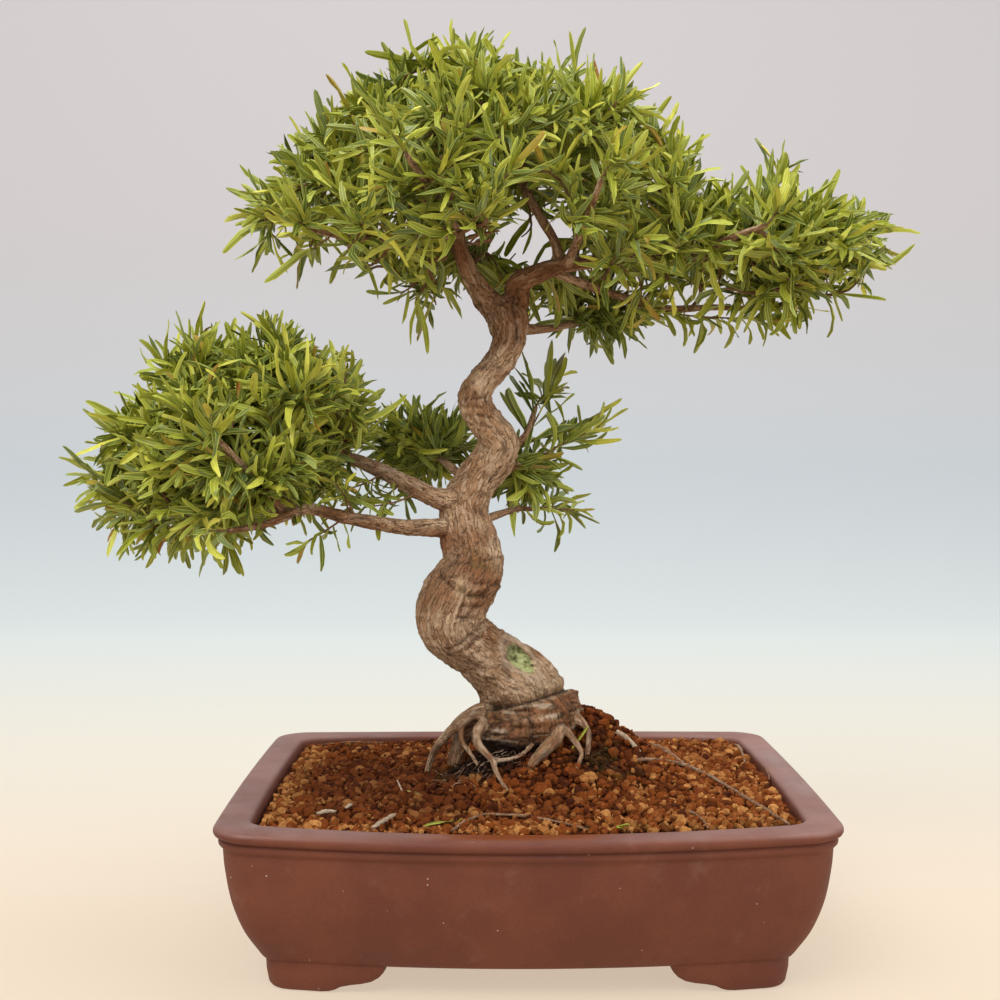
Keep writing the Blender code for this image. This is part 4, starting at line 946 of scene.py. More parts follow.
def humus_and_shadow_at(points):
    """The dark, rooty soil in the hollow under the collar, dark also as painted shadow there."""
    hollow = spot(points, (-20, -5), (29, 19), 2)
    right = 0.45 * spot(points, (42, -14), (15, 9), 2)
    return np.clip(1.15 * (hollow + right) + 0.25 * noise(points, 8.0, 14) * (hollow > 0.02), 0, 1)


def dryness(x, y):
    """How light the granules are: dry at both ends and along the front, and darker on the mounds."""
    light = 0.42 + 0.14 * smooth_step(40, 140, x) + 0.32 * smooth_step(-114, -134, x)
    light = light + 0.14 * smooth_step(-78, -104, y)
    return light - 0.22 * smooth_step(8, 18, soil_height(x, y) - SOIL_LEVEL - 0.5 * SOIL_RIGHT_RISE)


def ball(levels):
    """An icosphere's (points, triangles)."""
    mesh = bpy.data.meshes.new("ball")
    edit = bmesh.new()
    bmesh.ops.create_icosphere(edit, subdivisions=levels, radius=1.0)
    edit.to_mesh(mesh)
    edit.free()
    points = np.array([v.co for v in mesh.vertices])
    faces = np.array([tuple(p.vertices) for p in mesh.polygons])
    bpy.data.meshes.remove(mesh)
    return points, faces


def turned(draw, count):
    """Random rotation matrices."""
    q = unit(draw.normal(size=(count, 4)))
    w, x, y, z = q.T
    return np.stack([
        1 - 2 * (y * y + z * z), 2 * (x * y - z * w), 2 * (x * z + y * w),
        2 * (x * y + z * w), 1 - 2 * (x * x + z * z), 2 * (y * z - x * w),
        2 * (x * z - y * w), 2 * (y * z + x * w), 1 - 2 * (x * x + y * y)], 1).reshape(-1, 3, 3)


def lumps(draw, places, sizes, levels):
    """Rounded, uneven lumps of clay at the places."""
    shape, faces = ball(levels)
    count = len(places)
    stretch = draw.uniform(0.72, 1.08, (count, 1, 3))
    wave = unit(draw.normal(size=(count, 1, 3)))
    second = unit(draw.normal(size=(count, 1, 3)))
    body = shape[None] * (1 + 0.16 * np.sin(3.1 * np.sum(shape[None] * wave, -1, keepdims=True) + 1)
                          + 0.13 * np.sin(4.3 * np.sum(shape[None] * second, -1, keepdims=True)))
    body = body * stretch * sizes[:, None, None]
    body = np.einsum("nij,nkj->nki", turned(draw, count), body)
    points = (body + places[:, None]).reshape(-1, 3)
    all_faces = (faces[None] + (np.arange(count) * len(shape))[:, None, None]).reshape(-1, 3)
    return points, all_faces, len(shape)


def build_granules(finish):
    """Layers of clay granules and crumbs on the soil."""
    draw = np.random.default_rng(SEED)
    for name, pitch, sizes, levels, sink, on_humus in GRANULES:
        x, y = np.meshgrid(np.arange(-150, 150, pitch), np.arange(-125, 125, pitch * 0.87))
        x = x + (np.arange(len(x)) % 2)[:, None] * pitch / 2
        places = np.column_stack([x.ravel(), y.ravel()]) + draw.uniform(-0.38, 0.38, (x.size, 2)) * pitch
        radii = draw.uniform(*sizes, len(places))
        room = inside_pot(places[:, 0], places[:, 1], SOIL_INSET) - radii * 0.9
        bare = humus_and_shadow_at(np.column_stack([places, np.zeros(len(places))]))
        share = on_humus + (1 - on_humus) * (1 - bare) if on_humus < 1 else bare
        keep = (room > 0) & (draw.uniform(0, 1, len(radii)) < share)
        places, radii = places[keep], radii[keep]
        height = soil_height(places[:, 0], places[:, 1]) - sink * radii
        places = np.column_stack([places, height + draw.uniform(-0.4, 0.9, len(radii))])
        points, faces, size = lumps(draw, places, radii, levels)
        mesh = mesh_from(name, points, [faces])
        tone = dryness(places[:, 0], places[:, 1]) + draw.normal(0, GRANULE_TONES, len(places))
        give(mesh, "tone", np.repeat(np.clip(tone, 0.02, 1), size))
        give_soil(mesh, places, size)
        piece(name, mesh, finish, (), 30)


# Wood

def nearest_on(points, samples, radii):
    """For each point the index of the route sample whose surface is nearest."""
    found = np.empty(len(points), int)
    for start in range(0, len(points), 20000):
        part = points[start:start + 20000]
        away = np.sqrt(np.maximum(((part ** 2).sum(1)[:, None] + (samples ** 2).sum(1)[None]
                                   - 2 * part @ samples.T), 0)) - radii[None]
        found[start:start + 20000] = np.argmin(away, 1)
    return found


def route_samples(routes, spacing):
    """Samples of several routes: places, radii, frames, and the distance along."""
    places, radii, sides, ups, along = [], [], [], [], []
    for index, route in enumerate(routes):
        dense, steps = resampled(route, spacing)
        _, side, up = frames_along(dense[:, :3])
        places.append(dense[:, :3])
        radii.append(dense[:, 3])
        sides.append(side)
        ups.append(up)
        along.append(steps + ROUTE_SPACING * index)
    return (np.concatenate(a) for a in (places, radii, sides, ups, along))


def with_grain(mesh, points, routes):
    """Store on each point where it lies round and along its route, for the bark's pattern."""
    places, radii, sides, ups, along = route_samples(routes, 1.5)
    index = nearest_on(points, places, radii)
    away = points - places[index]
    angle = np.arctan2(np.sum(away * ups[index], 1), np.sum(away * sides[index], 1))
    radius = np.maximum(radii[index], 1.5)
    grain = np.column_stack([np.cos(angle) * radius, np.sin(angle) * radius, along[index]])
    give(mesh, "grain", grain)
    return grain, (along[index] // ROUTE_SPACING).astype(int)


def thick_part(route):
    """The stretch of a route from its start that belongs to the wood's one mesh."""
    kept = [station for station in route if station[3] >= THICK_LIMB]
    return kept if len(kept) >= 3 else []


def read(mesh, key):
    """The positions or the normals of a mesh, in m."""
    flat = np.empty(len(mesh.vertices) * 3, np.float32)
    mesh.vertices.foreach_get(key, flat)
    return flat.reshape(-1, 3).astype(float)


def read_points(mesh):
    return read(mesh, "co") / MM - POT_SHIFT


def move_points(mesh, points):
    mesh.vertices.foreach_set("co", ((points + POT_SHIFT) * MM).astype(np.float32).ravel())
    mesh.update()


def build_wood(finish):
    """Trunk, thick limbs and surface roots grown together, with bark relief."""
    dense, steps = resampled(TRUNK, 1.5)
    angles = math.tau * np.arange(72) / 72
    swell = np.ones((len(dense), 72))
    for waves, share, turn in TRUNK_LOBES:
        swell += share * np.sin(waves * angles[None] + turn + 0.012 * steps[:, None])
    shapes = [tube(dense[:, :3], dense[:, 3:4] * swell, 72)]
    routes = [TRUNK]
    for root in ROOTS:
        path, _ = resampled(root, 1.5)
        shapes.append(tube(path[:, :3], path[:, 3] * ROOT_SHARE, 20))
        routes.append(root)
    for route in BRANCHES.values():
        part = thick_part(route)
        if part:
            path, _ = resampled(part, 1.5)
            shapes.append(tube(path[:, :3], path[:, 3], 20))
            routes.append(part)
    target = placed("wood_shapes", mesh_from("wood_shapes", *joined(shapes)))
    remesh = target.modifiers.new("Remesh", "REMESH")
    remesh.mode = "VOXEL"
    remesh.voxel_size = WOOD_VOXEL * MM
    target = placed("smoothing", as_changed(target))
    smooth = target.modifiers.new("Smooth", "SMOOTH")
    smooth.iterations = WOOD_SMOOTHING
    smooth.factor = 0.5
    mesh = as_changed(target)
    points = read_points(mesh)
    normals = read(mesh, "normal")
    grain, route = with_grain(mesh, points, routes)
    lift, shades = bark_relief(points, normals, grain, route)
    move_points(mesh, points + normals * lift[:, None])
    for name, values in shades.items():
        give(mesh, name, np.clip(values, 0, 1))
    return piece("trunk_and_roots", mesh, finish, ["tree"])


def near_line(points, line):
    """How far each point lies from a line through places."""
    nearest = np.full(len(points), 1e9)
    for start, end in zip(line, line[1:]):
        start, along = np.array(start, float), np.subtract(end, start)
        share = np.clip((points - start) @ along / (along @ along), 0, 1)
        nearest = np.minimum(nearest, np.linalg.norm(points - start - share[:, None] * along, axis=1))
    return nearest


def above_girdle(points):
    """How high each point lies above the girdle's slanting, uneven line."""
    x, y, z = points.T
    return z - GIRDLE_HEIGHT - GIRDLE_SLOPE[0] * x - GIRDLE_SLOPE[1] * y - 0.9 * noise(points, 13.0, 35)


def wound_share(points, normals):
    """How far out each point lies from the wound's middle, 1 at its rim, and how far along its axis."""
    away = points - WOUND_PLACE
    square = normals[np.argmin(np.sum(away ** 2, axis=1))]
    along = unit(WOUND_AXIS)
    across = unit(np.cross(square, along))
    u, v = away @ along / WOUND_HALF[0], away @ across / WOUND_HALF[1]
    v = v / np.clip(1.15 - 0.35 * u, 0.6, 1.4)
    share = np.sqrt(u * u + v * v)
    return np.where(away @ square > -7, share, 9.0), u


def bark_relief(points, normals, grain, route):
    """How far each point of the wood lifts, and its shades for the bark's material."""
    x, y, z = points.T
    trunk = route == 0
    thick = smooth_step(1.5, 9.0, np.linalg.norm(grain[:, :2], axis=1))
    ridges = 1 - np.abs(layered(grain * (1, 1, 0.2), 3.6, 3, 21))
    lift = 0.45 * (ridges - 0.6) * (0.3 + thick)
    lift += 0.75 * layered(grain * (1, 1, 0.6), 11.0, 2, 33) * thick
    lift += 0.45 * noise(points, 2.4, 34) * thick
    flakes = layered(grain * (1, 1, 0.45), 1.9, 2, 36)
    lift += 0.28 * np.sign(flakes) * smooth_step(0.1, 0.35, np.abs(flakes)) * (0.3 + thick)
    lift -= BARK_INSET * thick
    # Painted shade, darkest in the valleys between ridges, the girdle, the gaps of the collar's plates, the
    # hollow under the collar, the wound's upper end, creases and knots.
    crevice_shade = 0.45 * smooth_step(0.42, 0.08, ridges)

    level = np.where(trunk, above_girdle(points), 50.0)
    collar = smooth_step(-0.5, -3.5, level)
    lift += 1.5 * bell(level, 3.0, 4.6) - 2.2 * bell(level, 1.3)
    lift += collar * (1.2 + 1.7 * layered(points * (0.35, 0.35, 1.9), 5.0, 3, 45))
    crevice_shade += 0.95 * bell(level, 0.9)
    hollow = np.where(trunk, smooth_step(114.0, 110.5, z + 1.5 * noise(points, 6.0, 47)), 0.0)
    plates = layered(points * (0.45, 0.45, 1.5), 4.6, 2, 46)
    lift += 0.8 * collar * np.sign(plates) * smooth_step(0.05, 0.3, np.abs(plates))
    crevice_shade += hollow + 0.75 * collar * smooth_step(0.22, 0.0, np.abs(plates))

    share, along = wound_share(points, normals)
    lift += bell(share, 0.25, 1.3) - 2.6 * smooth_step(1.05, 0.5, share)
    wound = smooth_step(1.02, 0.82, share)
    pale = 0.55 * bell(share, 0.25, 1.3)
    crevice_shade = np.where(share < 1.1, 0.7 * smooth_step(0.0, -0.9, along) * wound, crevice_shade)

    for depth, width, line in CREASES:
        away = near_line(points, line)
        lift += 0.45 * depth * bell(away, width, 2.2 * width)
        lift -= depth * bell(away, width)
        crevice_shade += 0.75 * bell(away, 0.55 * width)
    for place, size in KNOTS:
        away = np.linalg.norm(points - place, axis=1) / size
        lift += 0.8 * bell(away, 0.45, 1.0) - 0.7 * bell(away, 0.45)
        crevice_shade += 0.85 * bell(away, 0.5)

    rooted = (route > 0) & (route <= len(ROOTS))
    low = smooth_step(165, 118, z) * trunk
    moss = 0.6 * low * patchy(-0.2, 0.6, points, 9.0, 40) * (1 - 0.6 * collar)
    greened = smooth_step(24, 10, np.abs(z - 205)) * patchy(0.0, 0.5, points, 7.0, 42)
    moss += 0.4 * greened * trunk
    rust_and_shade = 0.8 * smooth_step(328, 362, z) * patchy(-0.8, 0.3, points, 15.0, 41)
    rust_and_shade += 0.75 * smooth_step(34, 12, np.abs(z - 214)) * patchy(-0.4, 0.3, points, 12.0, 43)
    rust_and_shade += 0.65 * smooth_step(14, 5, np.abs(z - 316)) * patchy(-0.4, 0.4, points, 10.0, 44)
    rust_and_shade += 1.2 * collar * patchy(-0.8, -0.1, points * (0.5, 0.5, 1.5), 7.0, 48)
    rust_and_shade += 0.55 * rooted * patchy(-0.5, 0.3, points, 6.0, 53)
    # Darker rusty brown where the thick limbs face down: painted shade.
    rust_and_shade += 0.35 * (route > len(ROOTS)) * smooth_step(-0.6, 0.3, -normals[:, 2])
    pale += 0.4 * rooted * patchy(0.1, 0.6, points * (1, 1, 0.5), 4.0, 49)
    pale += 0.7 * collar * patchy(0.25, 0.5, points * (0.3, 0.3, 2.2), 4.5, 50)
    return lift, {"crevice_shade": crevice_shade, "moss": moss, "rust_and_shade": rust_and_shade, "pale": pale, "wound": wound}


def build_branches(finish):
    """The thinner branches, each a tube from inside the wood that it grows from."""
    parts, routes = [], []
    for route in BRANCHES.values():
        rest = route[max(len(thick_part(route)) - 2, 0):]
        path, _ = resampled(rest, 2.2)
        wobble = 1 + 0.10 * noise(path[:, :3], 6.0, 51)
        parts.append(tube(path[:, :3], path[:, 3] * wobble, 12))
        routes.append(rest)
    points, groups = joined(parts)
    mesh = mesh_from("branches", points, groups)
    with_grain(mesh, points, routes)
    for name in ("crevice_shade", "moss", "pale", "wound"):
        give(mesh, name, np.zeros(len(points)))
    give(mesh, "rust_and_shade", 0.25 + 0.4 * patchy(-0.2, 0.6, points, 14.0, 52))
    return piece("branches", mesh, finish)


def build_fine_roots(finish):
    """Threads of root that lie bare on the soil."""
    parts, shares = [], []
    for route in FINE_ROOTS + PALE_BITS:
        path, _ = resampled(route, 2.0)
        path[:, 2] += 0.5 * noise(path[:, :3], 7.0, 55)
        parts.append(tube(path[:, :3], path[:, 3] * (1 + 0.25 * noise(path[:, :3], 4.0, 56)), 8))
        shares.append(0.75 if route in PALE_BITS else 0.0)
    draw = np.random.default_rng(SEED + 3)
    for _ in range(THREADS):
        x, y = draw.uniform(-46, 14), draw.uniform(-26, 0)
        heading = draw.uniform(0, math.tau)
        stations = []
        for step in range(5):
            stations.append((x, y, soil_height(x, y) + draw.uniform(0.0, 1.6), 0.2))
            heading += draw.normal(0, 0.6)
            x, y = x + 3.2 * math.cos(heading), y + 2.2 * math.sin(heading)
        path, _ = resampled(stations, 2.0)
        parts.append(tube(path[:, :3], path[:, 3], 4))
        shares.append(draw.choice((0.0, 0.6), p=(0.75, 0.25)))
    points, groups = joined(parts)
    mesh = mesh_from("fine_roots", points, groups)
    give(mesh, "grain", points)
    for name in ("crevice_shade", "moss", "wound"):
        give(mesh, name, np.zeros(len(points)))
    litter = np.concatenate([np.full(len(part[0]), share) for part, share in zip(parts, shares)])
    give(mesh, "pale", np.clip(litter + 0.3 * noise(points, 9.0, 57), 0, 1))
    give(mesh, "rust_and_shade", 0.7 * (1 - litter))
    return piece("fine_roots", mesh, finish)


# Foliage

def leaf_mesh(blade, root, direction, up, length, width, bend, sway, fold, wave, phase, twist):
    """Closed folded blades, one for each row of the arrays.

    Gives points, quads, triangles, coordinates across and along each blade, and the points of one blade.
    """
    stations, breadth = blade
    count = len(root)
    side = unit(np.cross(direction, up))
    up = np.cross(side, direction)
    places, lefts, rights, mids, backs = root, [], [], [], []
    shares = np.append(stations, 1.0)
    previous = 0.0
    for index, share in enumerate(shares):
        angle = bend * share ** 1.4
        lateral = sway * np.sin(2.6 * share + phase)
        heading = unit(direction * np.cos(angle)[:, None] - up * np.sin(angle)[:, None]
                       + side * lateral[:, None])
        places = places + heading * (length * (share - previous))[:, None]
        previous = share
        if index == len(stations):
            break
        across = unit(np.cross(heading, np.cross(side, heading)))
        turn = twist * share
        lifted = np.cross(across, heading)
        across, lifted = (across * np.cos(turn)[:, None] + lifted * np.sin(turn)[:, None],
                          lifted * np.cos(turn)[:, None] - across * np.sin(turn)[:, None])
        half = (width * breadth[index] / 2)[:, None]
        ripple = (wave * np.sin(9.0 * share + phase))[:, None]
        other = (wave * np.sin(8.0 * share + 2 * phase + 2))[:, None]
        rise = half * fold[:, None]
        lefts.append(places - across * half + lifted * (rise + ripple * half))
        rights.append(places + across * half + lifted * (rise + other * half))
        mids.append(places)
        backs.append(places - lifted * LEAF_THICKNESS)
    rows = len(stations)
    ring = np.stack([np.stack(r, 1) for r in (lefts, mids, rights, backs)], 2)
    points = np.concatenate([ring.reshape(count, rows * 4, 3), places[:, None]], 1)
    size = rows * 4 + 1
    quads = grid_faces(rows, 4, True)[:, ::-1]
    start = (rows - 1) * 4
    tips = np.array([(start + (k + 1) % 4, start + k, size - 1) for k in range(4)])
    base = np.array([(0, 1, 2), (0, 2, 3)])
    offsets = (np.arange(count) * size)[:, None, None]
    all_quads = (quads + offsets).reshape(-1, 4)
    all_tris = (np.concatenate([tips, base]) + offsets).reshape(-1, 3)
    across = np.tile(np.append(np.tile((-1.0, 0.0, 1.0, 0.0), rows), 0.0), count)
    along = np.tile(np.append(np.repeat(stations, 4), 1.0), count)
    back = np.tile(np.append(np.tile((0.35, 0.0, 0.35, 1.0), rows), 0.5), count)
    return points.reshape(-1, 3), all_quads, all_tris, np.column_stack([across, along, back]), size


def bezier(start, control, end, steps):
    share = np.linspace(0, 1, steps + 1)[:, None]
    return (1 - share) ** 2 * start + 2 * share * (1 - share) * control + share ** 2 * end


def pad_reach(reaches, angles):
    """How far a pad reaches in the given directions, in the plane seen from the front."""
    if len(reaches) == 3:
        side, up, down = reaches
        tall = np.where(np.sin(angles) > 0, up, down)
        return 1 / np.sqrt((np.cos(angles) / side) ** 2 + (np.sin(angles) / tall) ** 2)
    steps = np.arange(len(reaches) + 1) * math.tau / len(reaches)
    return np.interp(np.mod(angles, math.tau), steps, (*reaches, reaches[0]))


def pad_targets(draw, middle, reaches, depth, count):
    """Ends for twigs, spread through the outer shell of a pad."""
    index = np.arange(count) + 0.5
    tall = 1 - 2 * index / count
    turn = index * math.pi * (3 - math.sqrt(5))
    ring = np.sqrt(1 - tall * tall)
    flat_x, deep = ring * np.cos(turn), ring * np.sin(turn)
    in_plane = np.hypot(flat_x, tall)
    angles = np.arctan2(tall, flat_x)
    reach = pad_reach(reaches, angles)
    layer = draw.choice((0.0, 0.16, 0.36), count, p=(0.6, 0.26, 0.14)) + draw.uniform(0, 0.07, count)
    lump = 1 + 0.05 * noise(np.column_stack([flat_x, deep, tall]), 0.28, 61)
    share = (1 - layer) * lump
    hanging = smooth_step(0.1, -0.5, np.sin(angles))
    end_depth = TWIG_END_DEPTH + (UNDERSIDE_DEPTH - TWIG_END_DEPTH) * hanging
    shorter = np.maximum(reach - end_depth, 0.4 * reach)
    inner = max(depth - TWIG_END_DEPTH, 0.45 * depth)
    return np.array(middle) + np.column_stack([
        in_plane * np.cos(angles) * shorter * share, deep * inner * share,
        in_plane * np.sin(angles) * shorter * share])


def main_shoots():
    """The solids of the leafy shoots by name: the place nearest the wood, and all points."""
    wood = np.vstack([resampled(route, 3.0)[0][:, :3] for route in [TRUNK, *BRANCHES.values()]])
    found = {}
    for name in sorted(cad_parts):
        if not name.startswith("shoot_"):
            continue
        points = np.array([v.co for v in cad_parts[name].data.vertices]) / MM - POT_SHIFT
        away = np.linalg.norm(points[:, None] - wood[None], axis=2).min(1)
        found[name] = (points[np.argmin(away)], points)
    return found


def grow_twigs(draw):
    """Twigs from the branches to their ends.

    Gives the shoots' names, a list of [path, shoot, start], and how many twigs each one carries.
    """
    shoots = main_shoots()
    names = list(shoots)
    centres = np.array([shoots[name][1].mean(0) for name in names])
    skeleton = [resampled(route, 4.0)[0] for route in BRANCHES.values()]
    nodes = np.vstack([path[2:, :3] for path in skeleton])
    heads = np.vstack([unit(np.gradient(path[:, :3], axis=0))[2:] for path in skeleton])
    parent = np.full(len(nodes), -1)
    twigs = []
    targets = [(seat + 0.62 * (points.mean(0) - seat), index)
               for index, (seat, points) in enumerate(shoots.values())]
    for middle, reaches, depth, count in PADS.values():
        for end in pad_targets(draw, middle, reaches, depth, count):
            targets.append((end, int(np.argmin(np.linalg.norm(centres - end, axis=1)))))
    order = sorted(targets, key=lambda item: np.linalg.norm(nodes - item[0], axis=1).min())
    for end, owner in order:
        away = end - nodes
        reach = np.linalg.norm(away, axis=1)
        cost = reach * (1.35 - 0.5 * np.sum(unit(away) * heads, 1)) + 12 * (reach < 9)
        best = int(np.argmin(cost))
        start, head = nodes[best], heads[best]
        length = reach[best]
        control = start + (0.5 * head + 0.5 * unit(away[best])) * length * 0.5
        control[2] += 0.06 * length
        path = bezier(start, control, end, max(3, round(length / 6)))
        twigs.append([path, owner, best])
        fresh = path[1:]
        parent = np.append(parent, np.full(len(fresh), len(twigs) - 1))
        nodes = np.vstack([nodes, fresh])
        heads = np.vstack([heads, unit(np.gradient(path, axis=0))[1:]])
    load = np.ones(len(twigs))
    for index in range(len(twigs) - 1, -1, -1):
        above = parent[twigs[index][2]]
        if above >= 0:
            load[above] += load[index]
    return names, twigs, load


def along_twig(path, shares):
    """The stretch that each share of a path falls in, and its place."""
    place = shares * (len(path) - 1)
    low = np.minimum(place.astype(int), len(path) - 2)
    return low, path[low] + (path[low + 1] - path[low]) * (place - low)[:, None]


def leaves_on(draw, path, outward, sizes):
    """Leaf seats in a spiral up a twig: where each starts, its direction, up, age, length and width."""
    tangents, sides, ups = frames_along(path)
    length = np.linalg.norm(path[-1] - path[0])
    lengths, widths, count, stretch = sizes
    count = count or int(np.clip(round(length / 2.2), 8, 13))
    shares = 1 - np.linspace(0, min(1.0, stretch / max(length, 1.0)), count) ** 1.15
    shares = np.clip(shares, 0.05, 1.0)
    turn = draw.uniform(0, math.tau) + GOLDEN_TURN * np.arange(count)
    low, root = along_twig(path, shares)
    tangent = tangents[low + 1]
    radial = sides[low + 1] * np.cos(turn)[:, None] + ups[low + 1] * np.sin(turn)[:, None]
    age = np.linspace(0, 1, count)
    spread = np.radians(20 + 44 * age) + draw.normal(0, 0.2, count)
    direction = tangent * np.cos(spread)[:, None] + radial * np.sin(spread)[:, None]
    height = root[:, 2] - pad_middle(root)[:, 2]
    lift = np.column_stack([np.zeros((count, 2)), 0.30 * smooth_step(-25, 35, height) - 0.04])
    direction = unit(direction + 0.28 * outward + lift + draw.normal(0, 0.17, (count, 3)))
    up = unit(tangent + np.array((0, 0, 0.7)) + draw.normal(0, 0.45, (count, 3)))
    size = draw.uniform(*lengths, count) * (0.65 + 0.35 * smooth_step(0, 0.25, age))
    width = draw.uniform(*widths, count) * (size / np.mean(lengths)) ** 0.4
    return root, direction, up, age, size, width


def on_front_plane(points):
    """Where points appear on the plane through the trunk, seen from the front, as (x, z)."""
    eye = np.array(CAMERA_PLACE)
    nearer = eye[1] / (eye[1] - points[:, 1])
    return eye[[0, 2]] + (points[:, [0, 2]] - eye[[0, 2]]) * nearer[:, None]


def in_clearing(points):
    """True for points in front of a limb that is to show."""
    seen = on_front_plane(points)
    hides = np.zeros(len(points), bool)
    for start, end, width, depth in CLEARINGS:
        hides |= (near_line(seen, (start, end)) < width) & (points[:, 1] < depth)
    return hides


def thinned_out(draw, points):
    """True for a share of the points that lie in the bands with few leaves."""
    seen = on_front_plane(points)
    chance = draw.uniform(0, 1, len(points))
    out = np.zeros(len(points), bool)
    for start, end, width, share in THINNED:
        out |= (near_line(seen, (start, end)) < width) & (chance < share)
    return out


def inner_seats(draw, path, outward):
    """Seats for darker leaves further down a twig, which fill the inside of a pad."""
    count = INNER_LEAVES
    _, root = along_twig(path, draw.uniform(0.25, 0.9, count))
    direction = unit(0.5 * unit(path[-1] - path[0]) + 0.3 * outward + draw.normal(0, 0.6, (count, 3)))
    up = unit(np.array((0, 0, 1.0)) + draw.normal(0, 0.5, (count, 3)))
    lengths = draw.uniform(*INNER_LENGTHS, count)
    return root, direction, up, np.full(count, INNER_AGE), lengths, draw.uniform(*INNER_WIDTHS, count)


def thick_limbs():
    """Samples along the trunk and the thick limbs, which leaves keep out of."""
    limbs = [resampled(TRUNK, 4.0)[0]]
    for route in BRANCHES.values():
        if thick_part(route):
            limbs.append(resampled(thick_part(route), 4.0)[0])
    return np.vstack(limbs)


def build_foliage(finish):
    """One piece of leaves and twigs for each shoot's solid."""
    draw = np.random.default_rng(SEED + 1)
    names, twigs, load = grow_twigs(draw)
    limbs = thick_limbs()
    groups = {name: [] for name in names}
    for (path, owner, _), weight in zip(twigs, load):
        groups[names[owner]].append((path, weight, LEAF_SIZES))
    for name, twig, *sizes in SPRAYS:
        groups[name].append((resampled(twig, 5.0)[0], 1, sizes))
    for name, members in groups.items():
        build_tuft(draw, name, members, limbs, finish)


def build_tuft(draw, name, members, limbs, finish):
    """The leaves and twigs that stand for one leafy shoot."""
    outer, inner, twigs = [], [], []
    for path, weight, sizes in members:
        outward = unit(path[-1] - pad_middle(path[-1]) + (0, 0, 40))
        if sizes is LEAF_SIZES and in_clearing(path[-1:])[0]:
            continue
        outer.append(leaves_on(draw, path, outward, sizes))
        if sizes is LEAF_SIZES:
            inner.append(inner_seats(draw, path, outward))
        thick = 0.55 + 0.32 * (weight - 1) ** 0.5
        radii = np.linspace(min(thick * 1.25, 2.0), min(thick, 1.2) * 0.8, len(path))
        twigs.append(tube(path, radii, 5))
    parts, shades = [], {"leaf": [], "tone": [], "age": [], "blue": []}
    for blade, seats in ((BLADE, outer), (INNER_BLADE, inner)):
        if seats:
            seats = [np.concatenate(column) for column in zip(*seats)]
            keep = open_places(draw, seats, limbs, blade is INNER_BLADE)
            kept = [column[keep] for column in seats]
            parts.append(blades_with_shades(draw, blade, kept, shades, name.startswith(SHADED)))
    leaf_count = sum(len(points) for points, _ in parts)
    twig_points, twig_groups = joined(twigs)
    points, groups = joined([*parts, (twig_points, twig_groups)])
    mesh = mesh_from("foliage" + name[5:], points, groups)
    none = np.zeros(len(twig_points))
    give(mesh, "leaf", np.vstack([*shades.pop("leaf"), np.zeros((len(twig_points), 3))]))
    for shade, values in shades.items():
        give(mesh, shade, np.concatenate([*values, none]))
    give(mesh, "wood", np.append(np.zeros(leaf_count), none + 1))
    piece("foliage" + name[5:], mesh, finish, [name], 24)


def open_places(draw, seats, limbs, inside):
    """Which leaves neither cross the wood, nor hide a limb that shows, nor hang where few do."""
    root, direction, length = seats[0], seats[1], seats[4]
    shares = np.array((0.4, 0.7, 1.0))
    checked = root[:, None] + direction[:, None] * length[:, None, None] * shares[:, None]
    gap = np.linalg.norm(checked[:, :, None] - limbs[:, :3], axis=3) - limbs[:, 3]
    hides = in_clearing(checked.reshape(-1, 3)).reshape(-1, 3).any(1)
    keep = (gap.min((1, 2)) > LIMB_CLEARANCE) & ~hides & ~thinned_out(draw, checked[:, 1])
    if inside:
        keep &= checked[:, 1, 2] - pad_middle(root)[:, 2] > INNER_FLOOR
    return keep


def blades_with_shades(draw, blade, seats, shades, shaded):
    """The blades on their seats, and their shades added to the lists."""
    root, direction, up, age, length, width = seats
    count = len(root)
    low = smooth_step(10, -30, root[:, 2] - pad_middle(root)[:, 2])
    bend = draw.normal(0.25, 0.6, count) + 0.45 * low
    points, quads, tris, coordinates, size = leaf_mesh(
        blade, root, direction, up, length, width, bend, draw.uniform(-0.9, 0.9, count),
        draw.uniform(0.05, 0.7, count), draw.uniform(0, 0.6, count), draw.uniform(0, math.tau, count),
        draw.normal(0, 0.9, count))
    young = (age < 0.12) & (draw.uniform(0, 1, count) < 0.4)
    rusty = np.where(young, draw.uniform(0.2, 0.8, count), 0)
    rusty = rusty + 0.5 * (draw.uniform(0, 1, count) < 0.02) * (age < 1)
    # Darker down the twig, partly older leaves and partly painted shade deep in the pad; darker low in the
    # pad and behind the trunk: painted shade.
    tone = 0.76 - 0.42 * age + draw.normal(0, 0.22, count) - 0.14 * low - 0.22 * shaded
    tone = np.clip(tone, 0.05, 1)
    blue = (draw.uniform(0, 1, count) < 0.05 + 0.08 * low) * draw.uniform(0.4, 1, count)
    shades["leaf"].append(coordinates)
    for shade, values in (("tone", tone), ("age", rusty), ("blue", blue)):
        shades[shade].append(np.repeat(values, size))
    return points, [quads, tris]


